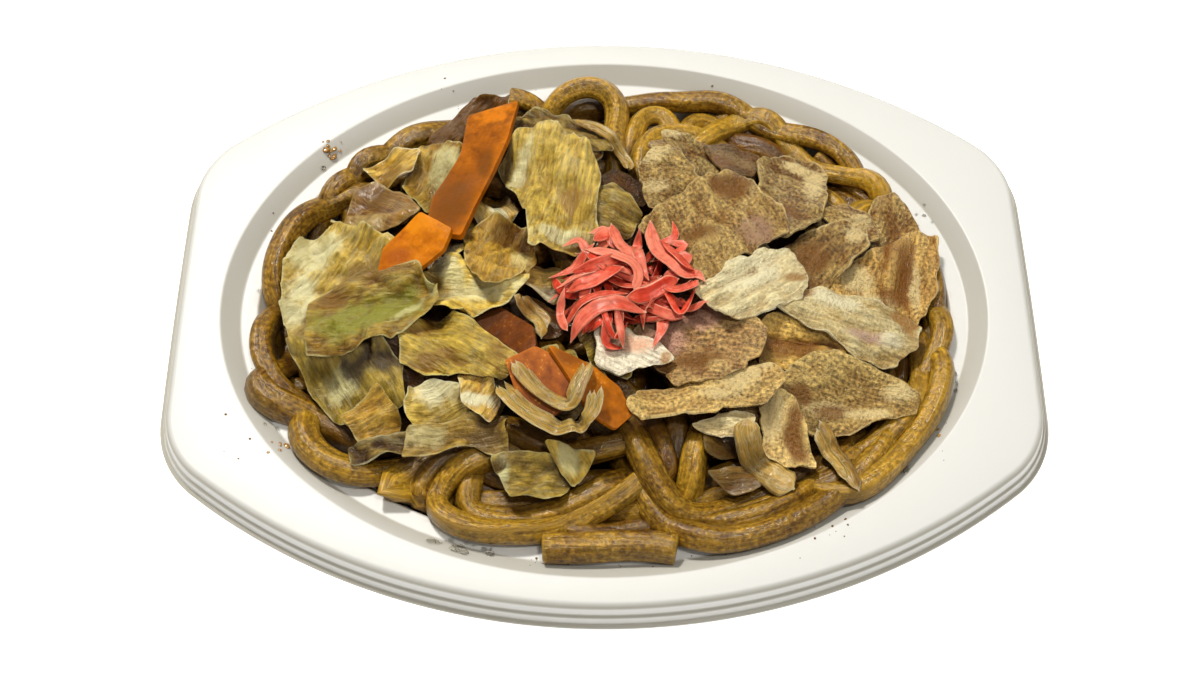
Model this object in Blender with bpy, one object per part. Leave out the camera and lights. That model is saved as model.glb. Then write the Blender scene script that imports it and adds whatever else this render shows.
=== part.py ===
"""Yaki udon in an oval takeaway tray, as solids: the tray, the heap of noodles, the ginger and each topping.

The tray's long side runs along X and the near long edge faces -Y. Z = 0 is the flat underside of the tray.
All sizes and places below are in millimetres and are turned into metres when a mesh is made.

The food is laid down as it lies in the tray. A height map in plan holds the highest surface so far. Each
noodle rolls along it as a ball would, and each topping settles on it as a limp sheet with a small gap below.
"""

import math
import random
from dataclasses import dataclass

import bmesh
import bpy
import numpy as np
from mathutils import Vector
from mathutils.geometry import delaunay_2d_cdt

MM = 0.001

# Tray, seen from above. The outer edge of the rim is made of arcs, and all that lies inside it is elliptical.
RIM_HALF_LENGTH = 120.0
RIM_HALF_WIDTH = 91.5
SHORT_SIDE_RADIUS = 2040.0
LONG_SIDE_RADIUS = 181.3
CORNER_RADIUS = 24.6
BOWL_HALF_LENGTH = 98.9
BOWL_HALF_WIDTH = 74.0

# Tray, seen in section. Heights are measured from the top of the rim, and offsets from the bowl's upper edge.
TRAY_HEIGHT = 39.0
WALL = 1.2
LEDGE_WIDTH = 4.8
LEDGE_DROP = 4.2
STEP_WIDTH = 5.0
BOWL_DRAFT = 12.5
BOWL_FLOOR_DROP = TRAY_HEIGHT - WALL
BOWL_CORNER = 4.0
SKIRT_DROP = 8.4
LIP_REACH = 3.6
SHORT_SIDE_STATIONS = 3
CORNER_STATIONS = 4
LONG_SIDE_STATIONS = 7

# Heap: the height of the food over the rim, as a dome that falls to the bowl's edge.
HEAP_HALF_LENGTH = 97.0
HEAP_HALF_WIDTH = 72.0
HEAP_EDGE = -6.0
HEAP_RISE = 20.0
HEAP_POWER = 0.75
CORE_DROP_CENTRE = 13.0
CORE_DROP_EDGE = 15.0
CORE_GAP = 0.7
CORE_STATIONS = 36
CORE_RINGS = 6

# Noodles
NOODLE_RADIUS = 3.4
NOODLE_SIDES = 6
NOODLE_SECTION_STEP = 8.0
NOODLE_PRESS = 1.4
NOODLE_OVERTOP = 3.0
NOODLE_CLEAR = 0.8
NOODLE_STIFFNESS = 14
# Rows of noodles along the bowl's wall: inset from its upper edge in mm, then first and last direction in
# degrees.
WALL_ROWS = (
    (15.0, 20, 66),
    (16.0, 225, 268),
    (16.0, 140, 178),
    (5.5, 38, 92),
    (5.5, 96, 146),
    (10.0, 152, 204),
    (4.2, -62, -4),
    (4.4, -2, 34),
    (11.5, -70, -24),
    (11.5, -20, 22),
    (18.5, -52, 12),
    (11.5, 198, 236),
    (9.5, 246, 292),
)
HIDDEN_NOODLES = 9

# Toppings
GAP = 0.35
SHEET_STEP = 6.0
SHEET_STIFFNESS = 3
SHEET_SPREAD = 1.08
# How much lower the noodles lie below the toppings than where they show.
SHEET_ROOM = 6.0
# Cosine over sine of the height from which the picture was taken.
PARALLAX = 0.554
RIBBON_STEP = 5.0
WAVE_LENGTH = 17.0
CELL = 0.75
SEED = 7


@dataclass(frozen=True)
class Kind:
    """What the pieces of one ingredient share.

    thickness and wave are in millimetres, and colour is linear RGB.
    """

    thickness: float
    wave: float
    roughness: float
    colour: tuple


KINDS = {
    "cabbage": Kind(1.5, 1.2, 0.35, (0.62, 0.57, 0.27)),
    "leaf": Kind(1.3, 1.5, 0.4, (0.33, 0.34, 0.07)),
    "pork": Kind(2.4, 0.7, 0.45, (0.32, 0.21, 0.10)),
    "carrot": Kind(2.8, 0.2, 0.35, (0.70, 0.20, 0.01)),
    "onion": Kind(1.8, 0.5, 0.3, (0.42, 0.30, 0.13)),
}

# Each noodle that shows whole: plan points, with a third number where it stands above what lies below it.
NOODLES = {
    "left_wall_upper": (
        (-95, 2), (-95, 14), (-91, 25), (-85, 33),
        (-78, 38), (-72, 42, 1), (-67, 38), (-64, 33),
    ),
    "back_left": ((-76, 38), (-75, 45, 1), (-69, 50, 1), (-60, 52), (-50, 54), (-42, 58)),
    "back_inner": ((-66, 46), (-54, 52), (-40, 50), (-30, 56), (-22, 62)),
    "left_wall_lower": ((-94, -2), (-97, -10), (-96, -18), (-94, -26), (-88, -33)),
    "left_diagonal": ((-95, -23), (-94, -31), (-86, -36), (-76, -41), (-66, -44)),
    "left_curl": ((-85, -38), (-82, -46), (-75, -54), (-66, -57), (-57, -55), (-50, -50)),
    "wide_flat": ((-64, -60), (-58, -57), (-51, -51), (-43, -48), (-34, -45)),
    "cut_end": ((-19, -74, 1), (-8, -75), (4, -75), (16, -74), (26, -72)),
    "long_near_right": (
        (10, -62), (14, -68), (23, -71), (35, -69), (48, -65),
        (60, -57), (70, -48), (79, -38), (86, -26),
    ),
    "inner_u": ((-33, -55), (-39, -61), (-34, -66), (-22, -67), (-8, -64), (2, -60)),
    "outer_u": (
        (-29, -48, 1), (-38, -51, 1), (-46, -57), (-47, -64), (-40, -69),
        (-27, -71), (-14, -69), (-3, -64), (8, -58), (16, -54),
    ),
    "near_s": ((6, -40), (9, -48), (12, -57), (17, -64), (25, -67), (35, -64), (46, -59), (57, -51)),
    "short_upright": ((27, -42, 1), (24, -50, 1), (23, -57, 1), (24, -63)),
    "right_fan": ((66, -38), (68, -46), (66, -54), (61, -59)),
    "far_hump_left": ((8, 56), (10, 64, 2), (15, 67, 3), (20, 66, 2), (22, 59)),
    "far_hump_right": ((24, 57), (27, 64, 2), (32, 65, 2), (37, 62)),
    "far_bend": ((10, 34), (10, 45), (13, 54, 1), (20, 57, 1), (29, 56)),
    "far_wave": (
        (18, 45), (27, 53), (35, 60, 1), (41, 64, 2), (48, 63, 2), (54, 58, 1),
        (60, 51), (66, 46, 1), (73, 46, 2), (79, 42, 1), (83, 36),
    ),
    "small_loop": ((71, 28), (75, 33, 1), (80, 36, 3), (85, 33, 3), (88, 27, 2), (88, 20), (86, 12)),
    "standing_loop": (
        (-20, 58), (-19, 64, 4), (-14, 70, 9), (-5, 73, 12),
        (3, 71, 10), (6, 65, 5), (4, 55), (3, 47),
    ),
}

# Each topping with an outline, from the lowest to the highest: plan points, with a third number for a lifted
# edge.
SHEETS = {
    "leaf_far_brown": ((-54, 49), (-50, 57), (-39, 66), (-30, 66), (-32, 51), (-40, 43), (-49, 46)),
    "cabbage_far": ((-28, 52), (-28, 61), (-20, 64), (-12, 60), (-3, 52), (1, 45), (-8, 44), (-18, 48)),
    "cabbage_gap": ((-29, 32), (-25, 24), (-28, 19), (-35, 16), (-38, 20), (-34, 29)),
    "leaf_far_left": ((-58, 36), (-56, 46), (-50, 49), (-43, 49), (-41, 42), (-44, 32), (-50, 25)),
    "leaf_back": ((-70, 44), (-62, 50), (-55, 49), (-57, 42), (-64, 39)),
    "onion_browned": ((-75, 25), (-72, 35), (-67, 37), (-58, 30), (-54, 24), (-60, 20), (-72, 20)),
    "pork_far": ((18, 50), (25, 49), (32, 41), (33, 35), (26, 33), (20, 41)),
    "pork_far_right": ((30, 45), (37, 49), (45, 46), (43, 38), (34, 36)),
    "pork_dark": ((-1, 31), (3, 36), (10, 33), (11, 26), (3, 24)),
    "cabbage_slip": ((-3, 28), (3, 29), (10, 22), (7, 16), (0, 17), (-4, 22)),
    "leaf_dark": ((-67, -18), (-54, -18), (-50, -26), (-56, -31), (-64, -27)),
    "leaf_stained": ((-60, -18), (-52, -16), (-43, -25), (-40, -30), (-50, -33), (-60, -27)),
    "onion_bed": ((-26, -8), (-19, -8), (-13, -11), (-12, -18), (-17, -20), (-24, -15)),
    "cabbage_by_ginger": ((-23, 2), (-14, 4), (-9, -2), (-13, -8), (-23, -5)),
    "cabbage_left": (
        (-90, 3), (-89, 11), (-87, 19), (-81, 20), (-79, 24, 1), (-75, 20), (-61, 13), (-59, 2),
        (-64, -7), (-74, -17), (-84, -16), (-88, -8),
    ),
    "leaf_low_left": (
        (-85, -17), (-74, -15), (-62, -18), (-56, -25), (-55, -34), (-62, -37), (-71, -37), (-78, -30),
    ),
    "leaf_low_tip": ((-70, -37), (-61, -31), (-56, -37), (-56, -41), (-65, -43)),
    "leaf_square": ((-68, -45), (-61, -43), (-53, -42), (-54, -47), (-61, -48), (-67, -50)),
    "cabbage_crumpled": (
        (-53, -36), (-51, -32), (-46, -31), (-39, -33), (-37, -38), (-42, -41), (-50, -42), (-52, -40),
    ),
    "cabbage_curl": (
        (-52, -50), (-51, -43), (-45, -42), (-33, -40, 1), (-27, -41, 2), (-27, -51, 2), (-32, -49),
        (-35, -47), (-44, -49),
    ),
    "leaf_near": ((-29, -52), (-22, -51), (-14, -52), (-10, -57), (-12, -61), (-24, -61)),
    "cabbage_near": ((-15, -49), (-3, -50, 1), (-5, -55), (-8, -58), (-11, -55)),
    "onion_near_right": ((27, -46), (38, -46), (38, -50), (31, -53), (27, -52)),
    "onion_low_right": ((28, -56), (37, -53), (43, -57), (35, -61)),
    "leaf_speckled": ((-39, -29), (-31, -28), (-28, -36), (-31, -41), (-37, -37)),
    "carrot_dark": ((-39, -11), (-30, -9), (-20, -18), (-19, -24), (-24, -26)),
    "cabbage_middle": (
        (-54, -17), (-48, -12), (-41, -11), (-31, -19),
        (-25, -25), (-28, -29), (-45, -28), (-53, -24),
    ),
    "carrot_speckled": ((-25, -27), (-18, -24), (-9, -28), (-8, -36), (-15, -40), (-21, -38)),
    "carrot_streak": ((-14, -25), (-3, -29), (3, -33), (6, -39), (2, -43), (-4, -40), (-9, -32)),
    "pork_loop_side": ((78, 31), (85, 36), (90, 25), (89, 18), (81, 13), (77, 18)),
    "pork_browned": (
        (64, 0), (70, 8), (80, 14), (88, 20), (94, 19), (94, 8), (91, 0), (87, -5), (78, -2), (67, -1),
    ),
    "pork_right_far": ((62, 24), (69, 28), (77, 25), (77, 18), (68, 17)),
    "pork_right": ((52, 12), (60, 17), (67, 20), (74, 19), (73, 12), (67, 7), (61, -1), (53, 2)),
    "pork_yellow": ((42, -16), (48, -13), (58, -14), (65, -18), (63, -24), (56, -27), (43, -25)),
    "pork_long": (
        (47, -9), (54, -4), (64, -3), (74, -4), (80, -5), (86, -9), (85, -15), (76, -21), (68, -19),
        (57, -14),
    ),
    "pork_low_right": (
        (47, -29), (56, -24), (63, -22), (76, -26), (84, -30),
        (82, -35), (66, -40), (57, -41), (50, -36),
    ),
    "pork_lump": ((42, -37), (48, -33), (53, -40), (55, -51), (48, -52), (43, -46)),
    "pork_fat_strip": ((24, -42), (30, -40), (39, -40), (39, -45), (31, -46)),
    "pork_low": (
        (7, -39), (11, -33), (22, -31), (33, -29), (43, -27),
        (46, -31), (41, -37), (30, -39), (20, -40), (12, -42),
    ),
    "pork_pink": (
        (8, -18), (14, -13), (24, -11), (35, -12), (42, -18),
        (39, -26), (31, -31), (20, -30), (14, -24),
    ),
    "pork_fat": ((-1, -19), (6, -17), (13, -21), (18, -26), (10, -27), (4, -30), (-1, -29)),
    "cabbage_curled": (
        (-50, -1, 2), (-46, 6, 1), (-40, 5), (-30, -1),
        (-22, -3), (-27, -8), (-36, -11), (-45, -9, 1),
    ),
    "leaf_brown": ((-38, 12), (-31, 18), (-22, 17), (-20, 5), (-23, -2), (-32, -4), (-37, 3)),
    "cabbage_top": (
        (-29, 42), (-24, 50), (-15, 51), (-7, 43), (-2, 32), (-4, 25),
        (-3, 17), (-9, 11), (-20, 8), (-21, 22), (-26, 31),
    ),
    "carrot_long": (
        (-40, 58), (-27, 62), (-29, 48), (-35, 27),
        (-39, 13), (-48, 16), (-47, 28), (-41, 43),
    ),
    "carrot_bright": ((-61, 5), (-60, 11), (-51, 19), (-43, 13), (-45, 8), (-56, 1)),
    "leaf_green": (
        (-80, -3), (-72, 3), (-62, 2), (-53, 3), (-46, -3, 2),
        (-47, -8, 2), (-57, -16, 1), (-70, -18), (-79, -18, 1),
    ),
    "pork_edge": ((46, 42), (53, 46), (61, 45), (64, 39), (63, 30), (60, 21), (50, 15), (45, 27)),
    "pork_upper": ((10, 38), (15, 43), (21, 42), (27, 34), (20, 28), (13, 27)),
    "pork_big": (
        (12, 18), (14, 22), (23, 27), (30, 33), (39, 33), (44, 25), (49, 20), (49, 13), (43, 11),
        (33, 3), (25, -5), (21, 1), (18, 12),
    ),
    "pork_fan": ((50, 9), (44, 9), (34, 2), (26, -6), (32, -12), (40, -12), (52, -5), (55, 0)),
}

# Each strip: width, then plan points along its middle.
RIBBONS = {
    "onion_inner_arc": (4.0, (-24, -31), (-17, -39), (-9, -43), (-6, -37), (-5, -32)),
    "onion_outer_arc": (4.2, (-28, -35), (-22, -43), (-12, -48), (-4, -46), (-2, -39)),
    "onion_pale_curl": (5.0, (38, -44), (38, -49), (44, -55), (50, -60)),
    "onion_right_strand": (5.5, (57, -42), (62, -50), (63, -60)),
    "onion_rib": (3.6, (-9, 57), (-1, 50), (6, 43), (8, 35)),
    "onion_left_of_ginger": (5.0, (-24, -11), (-18, -14), (-16, -21)),
}

GINGER_CENTRE = (5.0, -4.0)
GINGER_HALF_LENGTH = 15.0
GINGER_HALF_WIDTH = 14.0
GINGER_RISE = 4.5
GINGER_THICKNESS = 2.0
GINGER_SINK = 0.8
# Each ginger shred that shows whole: width, then plan points along its middle.
GINGER = (
    (5.0, (-14, -1), (-7, 2), (-2, 8)),
    (6.5, (-9, -7), (-2, -5), (5, -1)),
    (5.0, (1, 16), (5, 9), (9, 2)),
    (4.5, (14, 18), (15, 8), (22, -2), (27, -8)),
    (5.0, (-9, -22), (-3, -16), (4, -14), (11, -16)),
    (5.5, (10, -13), (15, -9), (19, -6)),
    (3.5, (-11, -8), (-10, -19)),
    (4.0, (-4, 5), (3, 2), (9, -1), (7, -9)),
    (4.5, (9, 14), (10, 5), (12, -4)),
    (3.5, (3, -15), (5, -24)),
)

RIM_TOP = TRAY_HEIGHT
rng = random.Random(SEED)


# ---------------------------------------------------------------- plan curves


def smooth_curve(points: tuple, spacing: float, closed: bool = False) -> np.ndarray:
    """Read points off a smooth curve that passes through the given ones.

    Args:
        points: rows of two or three numbers; a missing third number is 0.
        spacing: distance between the points that are returned, in mm.
        closed: whether the curve returns to its first point.

    Returns:
        An array of rows of three numbers: x, y and lift.
    """
    given = np.array([tuple(p) + (0,) * (3 - len(p)) for p in points], float)
    count = len(given)
    ends = count if closed else count - 1
    out = []
    for i in range(ends):
        if closed:
            a, b, c, d = (given[(i + k) % count] for k in (-1, 0, 1, 2))
        else:
            a, b, c, d = (given[min(max(i + k, 0), count - 1)] for k in (-1, 0, 1, 2))
        steps = max(1, round(float(np.hypot(*(c - b)[:2])) / spacing))
        for t in np.arange(steps) / steps:
            square = (2 * a - 5 * b + 4 * c - d) * t**2
            cube = (3 * b - a - 3 * c + d) * t**3
            out.append(0.5 * (2 * b + (c - a) * t + square + cube))
    if not closed:
        out.append(given[-1])
    return np.array(out)


def cut_outline(points: tuple, step: float) -> np.ndarray:
    """Points round a topping that was cut with straight sides, spread a little about its middle.

    Args:
        points: plan points, with an optional lift.
        step: greatest distance between the points that are returned, in mm.

    Returns:
        Rows of x, y and lift, once round.
    """
    given = np.array([tuple(p) + (0,) * (3 - len(p)) for p in points], float)
    given[:, :2] = (1 - SHEET_SPREAD) * given[:, :2].mean(0) + SHEET_SPREAD * given[:, :2]
    outline = []
    for start, end in zip(given, np.roll(given, -1, axis=0)):
        count = max(1, round(float(np.hypot(*(end - start)[:2])) / step))
        outline += [start + (end - start) * i / count for i in range(count)]
    return np.array(outline)


def ribbon_outline(width: float, points: tuple, spacing: float) -> np.ndarray:
    """Outline of a strip with tapered ends around a curve through points.

    Args:
        width: greatest width of the strip, in mm.
        points: plan points along its middle.
        spacing: distance between the points of each side, in mm.

    Returns:
        Rows of x, y and lift, once round the strip.
    """
    middle = smooth_curve(points, spacing)
    along = np.gradient(middle[:, :2], axis=0)
    along /= np.linalg.norm(along, axis=1)[:, None]
    across = np.stack([-along[:, 1], along[:, 0]], axis=1)
    share = np.linspace(0, 1, len(middle))
    half = 0.5 * width * (0.35 + 0.65 * np.sin(np.pi * share) ** 0.6)
    left, right = middle.copy(), middle.copy()
    left[:, :2] += across * half[:, None]
    right[:, :2] -= across * half[:, None]
    return np.concatenate([right, left[::-1]])


def rim_arcs() -> tuple:
    """Centres and radii of the three arcs of one quarter of the rim's outer edge.

    Returns:
        Three rows of centre x, centre y, radius and the direction in radians at which the arc ends.
    """
    side_x = RIM_HALF_LENGTH - SHORT_SIDE_RADIUS
    long_y = RIM_HALF_WIDTH - LONG_SIDE_RADIUS
    to_side = SHORT_SIDE_RADIUS - CORNER_RADIUS
    to_long = LONG_SIDE_RADIUS - CORNER_RADIUS
    # The corner's centre is where circles round the other two centres meet.
    gap = math.hypot(side_x, long_y)
    reach = (to_side**2 - to_long**2 + gap**2) / (2 * gap)
    rise = math.sqrt(to_side**2 - reach**2)
    unit_x, unit_y = -side_x / gap, long_y / gap
    corner_x = side_x + reach * unit_x - rise * unit_y
    corner_y = reach * unit_y + rise * unit_x
    side_end = math.atan2(corner_y, corner_x - side_x)
    corner_end = math.atan2(corner_y - long_y, corner_x)
    return (
        (side_x, 0.0, SHORT_SIDE_RADIUS, side_end),
        (corner_x, corner_y, CORNER_RADIUS, corner_end),
        (0.0, long_y, LONG_SIDE_RADIUS, math.pi / 2),
    )


def rim_ring(offset: float) -> np.ndarray:
    """Plan points round the rim's outer edge, moved outwards by offset.

    Args:
        offset: distance outwards from the edge, in mm.

    Returns:
        Rows of x and y, anticlockwise from the middle of the right-hand side.
    """
    quarter = []
    start = 0.0
    for (cx, cy, radius, end), stations in zip(
        rim_arcs(), (SHORT_SIDE_STATIONS, CORNER_STATIONS, LONG_SIDE_STATIONS)
    ):
        for angle in start + (end - start) * np.arange(stations) / stations:
            reach = radius + offset
            quarter.append((cx + reach * math.cos(angle), cy + reach * math.sin(angle)))
        start = end
    first = np.array(quarter)
    top = np.array([(0.0, RIM_HALF_WIDTH + offset)])
    half = np.concatenate([first, top, first[:0:-1] * (-1, 1)])
    return np.concatenate([half, -half])


def bowl_ring(offset: float) -> np.ndarray:
    """Plan points round the ellipse that lies offset outside the bowl's upper edge, in step with rim_ring.

    Args:
        offset: distance outwards from the bowl's upper edge, in mm.

    Returns:
        Rows of x and y.
    """
    outer = rim_ring(0.0)
    angle = np.arctan2(outer[:, 1] / RIM_HALF_WIDTH, outer[:, 0] / RIM_HALF_LENGTH)
    return np.stack(
        [(BOWL_HALF_LENGTH + offset) * np.cos(angle), (BOWL_HALF_WIDTH + offset) * np.sin(angle)], axis=1
    )


# ---------------------------------------------------------------- heights in plan


def tray_height(x: np.ndarray, y: np.ndarray) -> np.ndarray:
    """Height of the tray's upper surface over its own floor level, for places inside the rim.

    Args:
        x: plan places in mm.
        y: plan places in mm.

    Returns:
        Heights in mm over Z = 0.
    """
    ratio = np.hypot(x / BOWL_HALF_LENGTH, y / BOWL_HALF_WIDTH)
    offset = (ratio - 1) * np.hypot(x, y) / np.maximum(ratio, 1e-6)
    floor = -BOWL_DRAFT - BOWL_CORNER
    knots = (floor, -BOWL_DRAFT, 0.0, LEDGE_WIDTH, LEDGE_WIDTH + STEP_WIDTH)
    drops = (BOWL_FLOOR_DROP, BOWL_FLOOR_DROP - BOWL_CORNER, LEDGE_DROP, LEDGE_DROP, 0.0)
    return RIM_TOP - np.interp(offset, knots, drops)


def food_height(x: np.ndarray, y: np.ndarray) -> np.ndarray:
    """Height of the smooth dome that the top of the food follows.

    Args:
        x: plan places in mm.
        y: plan places in mm.

    Returns:
        Heights in mm over Z = 0.
    """
    inside = np.clip(1 - (x / HEAP_HALF_LENGTH) ** 2 - (y / HEAP_HALF_WIDTH) ** 2, 0, 1)
    return RIM_TOP + HEAP_EDGE + HEAP_RISE * inside**HEAP_POWER


def core_height(x: np.ndarray, y: np.ndarray) -> np.ndarray:
    """Height of the heap's bare core, which lies two or three noodles below the food's surface.

    Args:
        x: plan places in mm.
        y: plan places in mm.

    Returns:
        Heights in mm over Z = 0.
    """
    inside = np.clip(1 - (x / HEAP_HALF_LENGTH) ** 2 - (y / HEAP_HALF_WIDTH) ** 2, 0, 1)
    return food_height(x, y) - CORE_DROP_EDGE - (CORE_DROP_CENTRE - CORE_DROP_EDGE) * inside


class HeightMap:
    """The highest surface so far, over a square grid of CELL mm in plan."""

    def __init__(self) -> None:
        reach_x = RIM_HALF_LENGTH + 2 * LIP_REACH
        reach_y = RIM_HALF_WIDTH + 2 * LIP_REACH
        self.xs = np.arange(-reach_x, reach_x, CELL)
        self.ys = np.arange(-reach_y, reach_y, CELL)
        grid_y, grid_x = np.meshgrid(self.ys, self.xs, indexing="xy")
        self.x, self.y = grid_x, grid_y
        self.tray = tray_height(grid_x, grid_y)
        self.cover = self.room_below(grid_x, grid_y)
        self.heights = np.maximum(self.tray, core_height(grid_x, grid_y))

    def room_below(self, x: np.ndarray, y: np.ndarray) -> np.ndarray:
        """How much lower the noodles lie where toppings cover them.

        Args:
            x: places of the grid in mm.
            y: places of the grid in mm.

        Returns:
            Depths in mm, above 0 below a topping.
        """
        room = np.zeros_like(x)
        for points in SHEETS.values():
            border = cut_outline(points, SHEET_STEP)[:, :2]
            following = np.roll(border, -1, axis=0)
            inside = np.zeros(x.shape, bool)
            for (ax, ay), (bx, by) in zip(border, following):
                spans = (ay > y) != (by > y)
                inside ^= spans & (ax + (y - ay) / (by - ay if by != ay else 1.0) * (bx - ax) > x)
            room[inside] = SHEET_ROOM
        for axis in (0, 1):
            shifted = [np.roll(room, shift, axis=axis) for shift in (-3, -2, -1, 0, 1, 2, 3)]
            room = sum(shifted) / len(shifted)
        return room

    def rolled(self, heights: np.ndarray, radius: float) -> np.ndarray:
        """Height of the centre of a ball of this radius that touches the surface from above.

        Args:
            heights: surface heights on the grid.
            radius: radius of the ball in mm; 0 gives the surface itself.

        Returns:
            Heights of the ball's centre on the same grid.
        """
        reach = int(radius / CELL)
        best = heights + radius
        for i in range(-reach, reach + 1):
            for j in range(-reach, reach + 1):
                rest = radius**2 - (i * i + j * j) * CELL**2
                if rest > 0:
                    best = np.maximum(best, np.roll(heights, (i, j), axis=(0, 1)) + math.sqrt(rest))
        return best

    def read(self, heights: np.ndarray, x: np.ndarray, y: np.ndarray) -> np.ndarray:
        """Heights at places in plan, from the nearest points of the grid.

        Args:
            heights: heights on the grid.
            x: places in mm.
            y: places in mm.

        Returns:
            Heights in mm.
        """
        column = np.clip(np.rint((x - self.xs[0]) / CELL).astype(int), 0, len(self.xs) - 1)
        row = np.clip(np.rint((y - self.ys[0]) / CELL).astype(int), 0, len(self.ys) - 1)
        return heights[column, row]

    def stamp_strand(self, path: np.ndarray, radius: float) -> None:
        """Raise the surface to the top of a strand.

        Args:
            path: rows of x, y and z along the middle of the strand.
            radius: radius of the strand in mm.
        """
        for x, y, z in path:
            distance = (self.x - x) ** 2 + (self.y - y) ** 2
            near = distance < radius**2
            self.heights[near] = np.maximum(self.heights[near], z + np.sqrt(radius**2 - distance[near]))

    def stamp_faces(self, points: np.ndarray, faces: np.ndarray) -> None:
        """Raise the surface to the triangles of a mesh.

        Args:
            points: rows of x, y and z in mm.
            faces: rows of three indices.
        """
        for corners in points[faces]:
            columns, rows, weights = self.cells_under(corners[:, :2])
            if len(columns):
                self.heights[columns, rows] = np.maximum(self.heights[columns, rows], weights @ corners[:, 2])

    def cells_under(self, corners: np.ndarray) -> tuple:
        """Grid points inside a triangle in plan or within one cell of it.

        Args:
            corners: three rows of x and y.

        Returns:
            Columns, rows and the three weights of each point, which add up to 1.
        """
        low = np.floor((corners.min(0) - (self.xs[0], self.ys[0])) / CELL).astype(int) - 1
        high = np.ceil((corners.max(0) - (self.xs[0], self.ys[0])) / CELL).astype(int) + 2
        columns, rows = np.meshgrid(np.arange(low[0], high[0]), np.arange(low[1], high[1]), indexing="ij")
        columns, rows = columns.ravel(), rows.ravel()
        (ax, ay), (bx, by), (cx, cy) = corners
        area = (bx - ax) * (cy - ay) - (cx - ax) * (by - ay)
        if abs(area) < 1e-6:
            return columns[:0], rows[:0], np.zeros((0, 3))
        px, py = self.xs[0] + columns * CELL, self.ys[0] + rows * CELL
        second = ((px - ax) * (cy - ay) - (cx - ax) * (py - ay)) / area
        third = ((bx - ax) * (py - ay) - (px - ax) * (by - ay)) / area
        weights = np.stack([1 - second - third, second, third], axis=1)
        # A weight falls by 1 over the triangle's height on that side, so this lets in one cell's width
        # outside it.
        sides = [math.hypot(cx - bx, cy - by), math.hypot(cx - ax, cy - ay), math.hypot(bx - ax, by - ay)]
        slack = -CELL * np.array(sides) / abs(area)
        inside = (weights >= slack).all(1)
        weights = np.clip(weights[inside], 0, 1)
        return columns[inside], rows[inside], weights / weights.sum(1, keepdims=True)


# ---------------------------------------------------------------- meshes


def add_object(name: str, points: np.ndarray, faces: list, material: bpy.types.Material) -> bpy.types.Object:
    """Make one object from points in millimetres.

    Args:
        name: the object's name.
        points: rows of x, y and z in mm.
        faces: lists of indices, facing out.
        material: the object's material.

    Returns:
        The new object, linked to the scene.
    """
    mesh = bpy.data.meshes.new(name)
    places = [tuple(p) for p in np.asarray(points, float) * MM]
    mesh.from_pydata(places, [], [tuple(map(int, f)) for f in faces])
    shape = bmesh.new()
    shape.from_mesh(mesh)
    bmesh.ops.recalc_face_normals(shape, faces=shape.faces)
    bmesh.ops.triangulate(shape, faces=shape.faces)
    shape.to_mesh(mesh)
    shape.free()
    mesh.materials.append(material)
    made = bpy.data.objects.new(name, mesh)
    bpy.context.scene.collection.objects.link(made)
    return made


def make_material(name: str, colour: tuple, roughness: float) -> bpy.types.Material:
    """Make a Principled material.

    Args:
        name: the material's name.
        colour: linear RGB.
        roughness: 0 to 1.

    Returns:
        The material.
    """
    material = bpy.data.materials.new(name)
    material.use_nodes = True
    shader = material.node_tree.nodes["Principled BSDF"]
    shader.inputs["Base Color"].default_value = (*colour, 1.0)
    shader.inputs["Roughness"].default_value = roughness
    shader.inputs["Metallic"].default_value = 0.0
    material.diffuse_color = (*colour, 1.0)
    return material


def ring_faces(first: int, second: int, count: int) -> list:
    """Quads between two rings of equal length.

    Args:
        first: index of the first point of one ring.
        second: index of the first point of the other.
        count: points in each ring.

    Returns:
        Lists of four indices.
    """
    return [(first + i, first + (i + 1) % count, second + (i + 1) % count, second + i) for i in range(count)]


def build_tray(material: bpy.types.Material) -> bpy.types.Object:
    """Loft the tray's thin wall through rings: over the rim and into the bowl, and back along the underside.

    Args:
        material: the tray's material.

    Returns:
        The tray.
    """
    step = LEDGE_WIDTH + STEP_WIDTH
    over = [
        (rim_ring(LIP_REACH), -SKIRT_DROP),
        (rim_ring(LIP_REACH), 0.9 - SKIRT_DROP),
        (rim_ring(2.4), 1.1 - SKIRT_DROP),
        (rim_ring(1.9), -4.5),
        (rim_ring(1.1), -4.1),
        (rim_ring(0.6), -1.2),
        (rim_ring(-0.9), 0.0),
        (bowl_ring(step), 0.0),
        (bowl_ring(LEDGE_WIDTH), -LEDGE_DROP),
        (bowl_ring(0.0), -LEDGE_DROP),
        (bowl_ring(-BOWL_DRAFT), BOWL_CORNER - BOWL_FLOOR_DROP),
        (bowl_ring(-BOWL_DRAFT - BOWL_CORNER), -BOWL_FLOOR_DROP),
    ]
    under = [
        (bowl_ring(WALL - BOWL_DRAFT - BOWL_CORNER), -TRAY_HEIGHT),
        (bowl_ring(WALL - BOWL_DRAFT), BOWL_CORNER - TRAY_HEIGHT),
        (bowl_ring(WALL), -LEDGE_DROP - WALL),
        (bowl_ring(LEDGE_WIDTH + 0.6), -LEDGE_DROP - WALL),
        (bowl_ring(step + 0.6), -WALL),
        (rim_ring(-1.5), -WALL),
        (rim_ring(-0.7), -1.9),
        (rim_ring(-0.1), -5.0),
        (rim_ring(0.8), -5.6),
        (rim_ring(1.3), -SKIRT_DROP),
    ]
    rings = over + under
    count = len(rings[0][0])
    points = [(x, y, RIM_TOP + z) for ring, z in rings for x, y in ring]
    faces = []
    for i in range(len(rings)):
        if i != len(over) - 1:
            faces += ring_faces(i * count, (i + 1) % len(rings) * count, count)
    inner, outer = (len(over) - 1) * count, len(over) * count
    faces.append(list(range(inner, inner + count)))
    faces.append(list(range(outer, outer + count))[::-1])
    return add_object("tray", np.array(points), faces, material)


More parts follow.
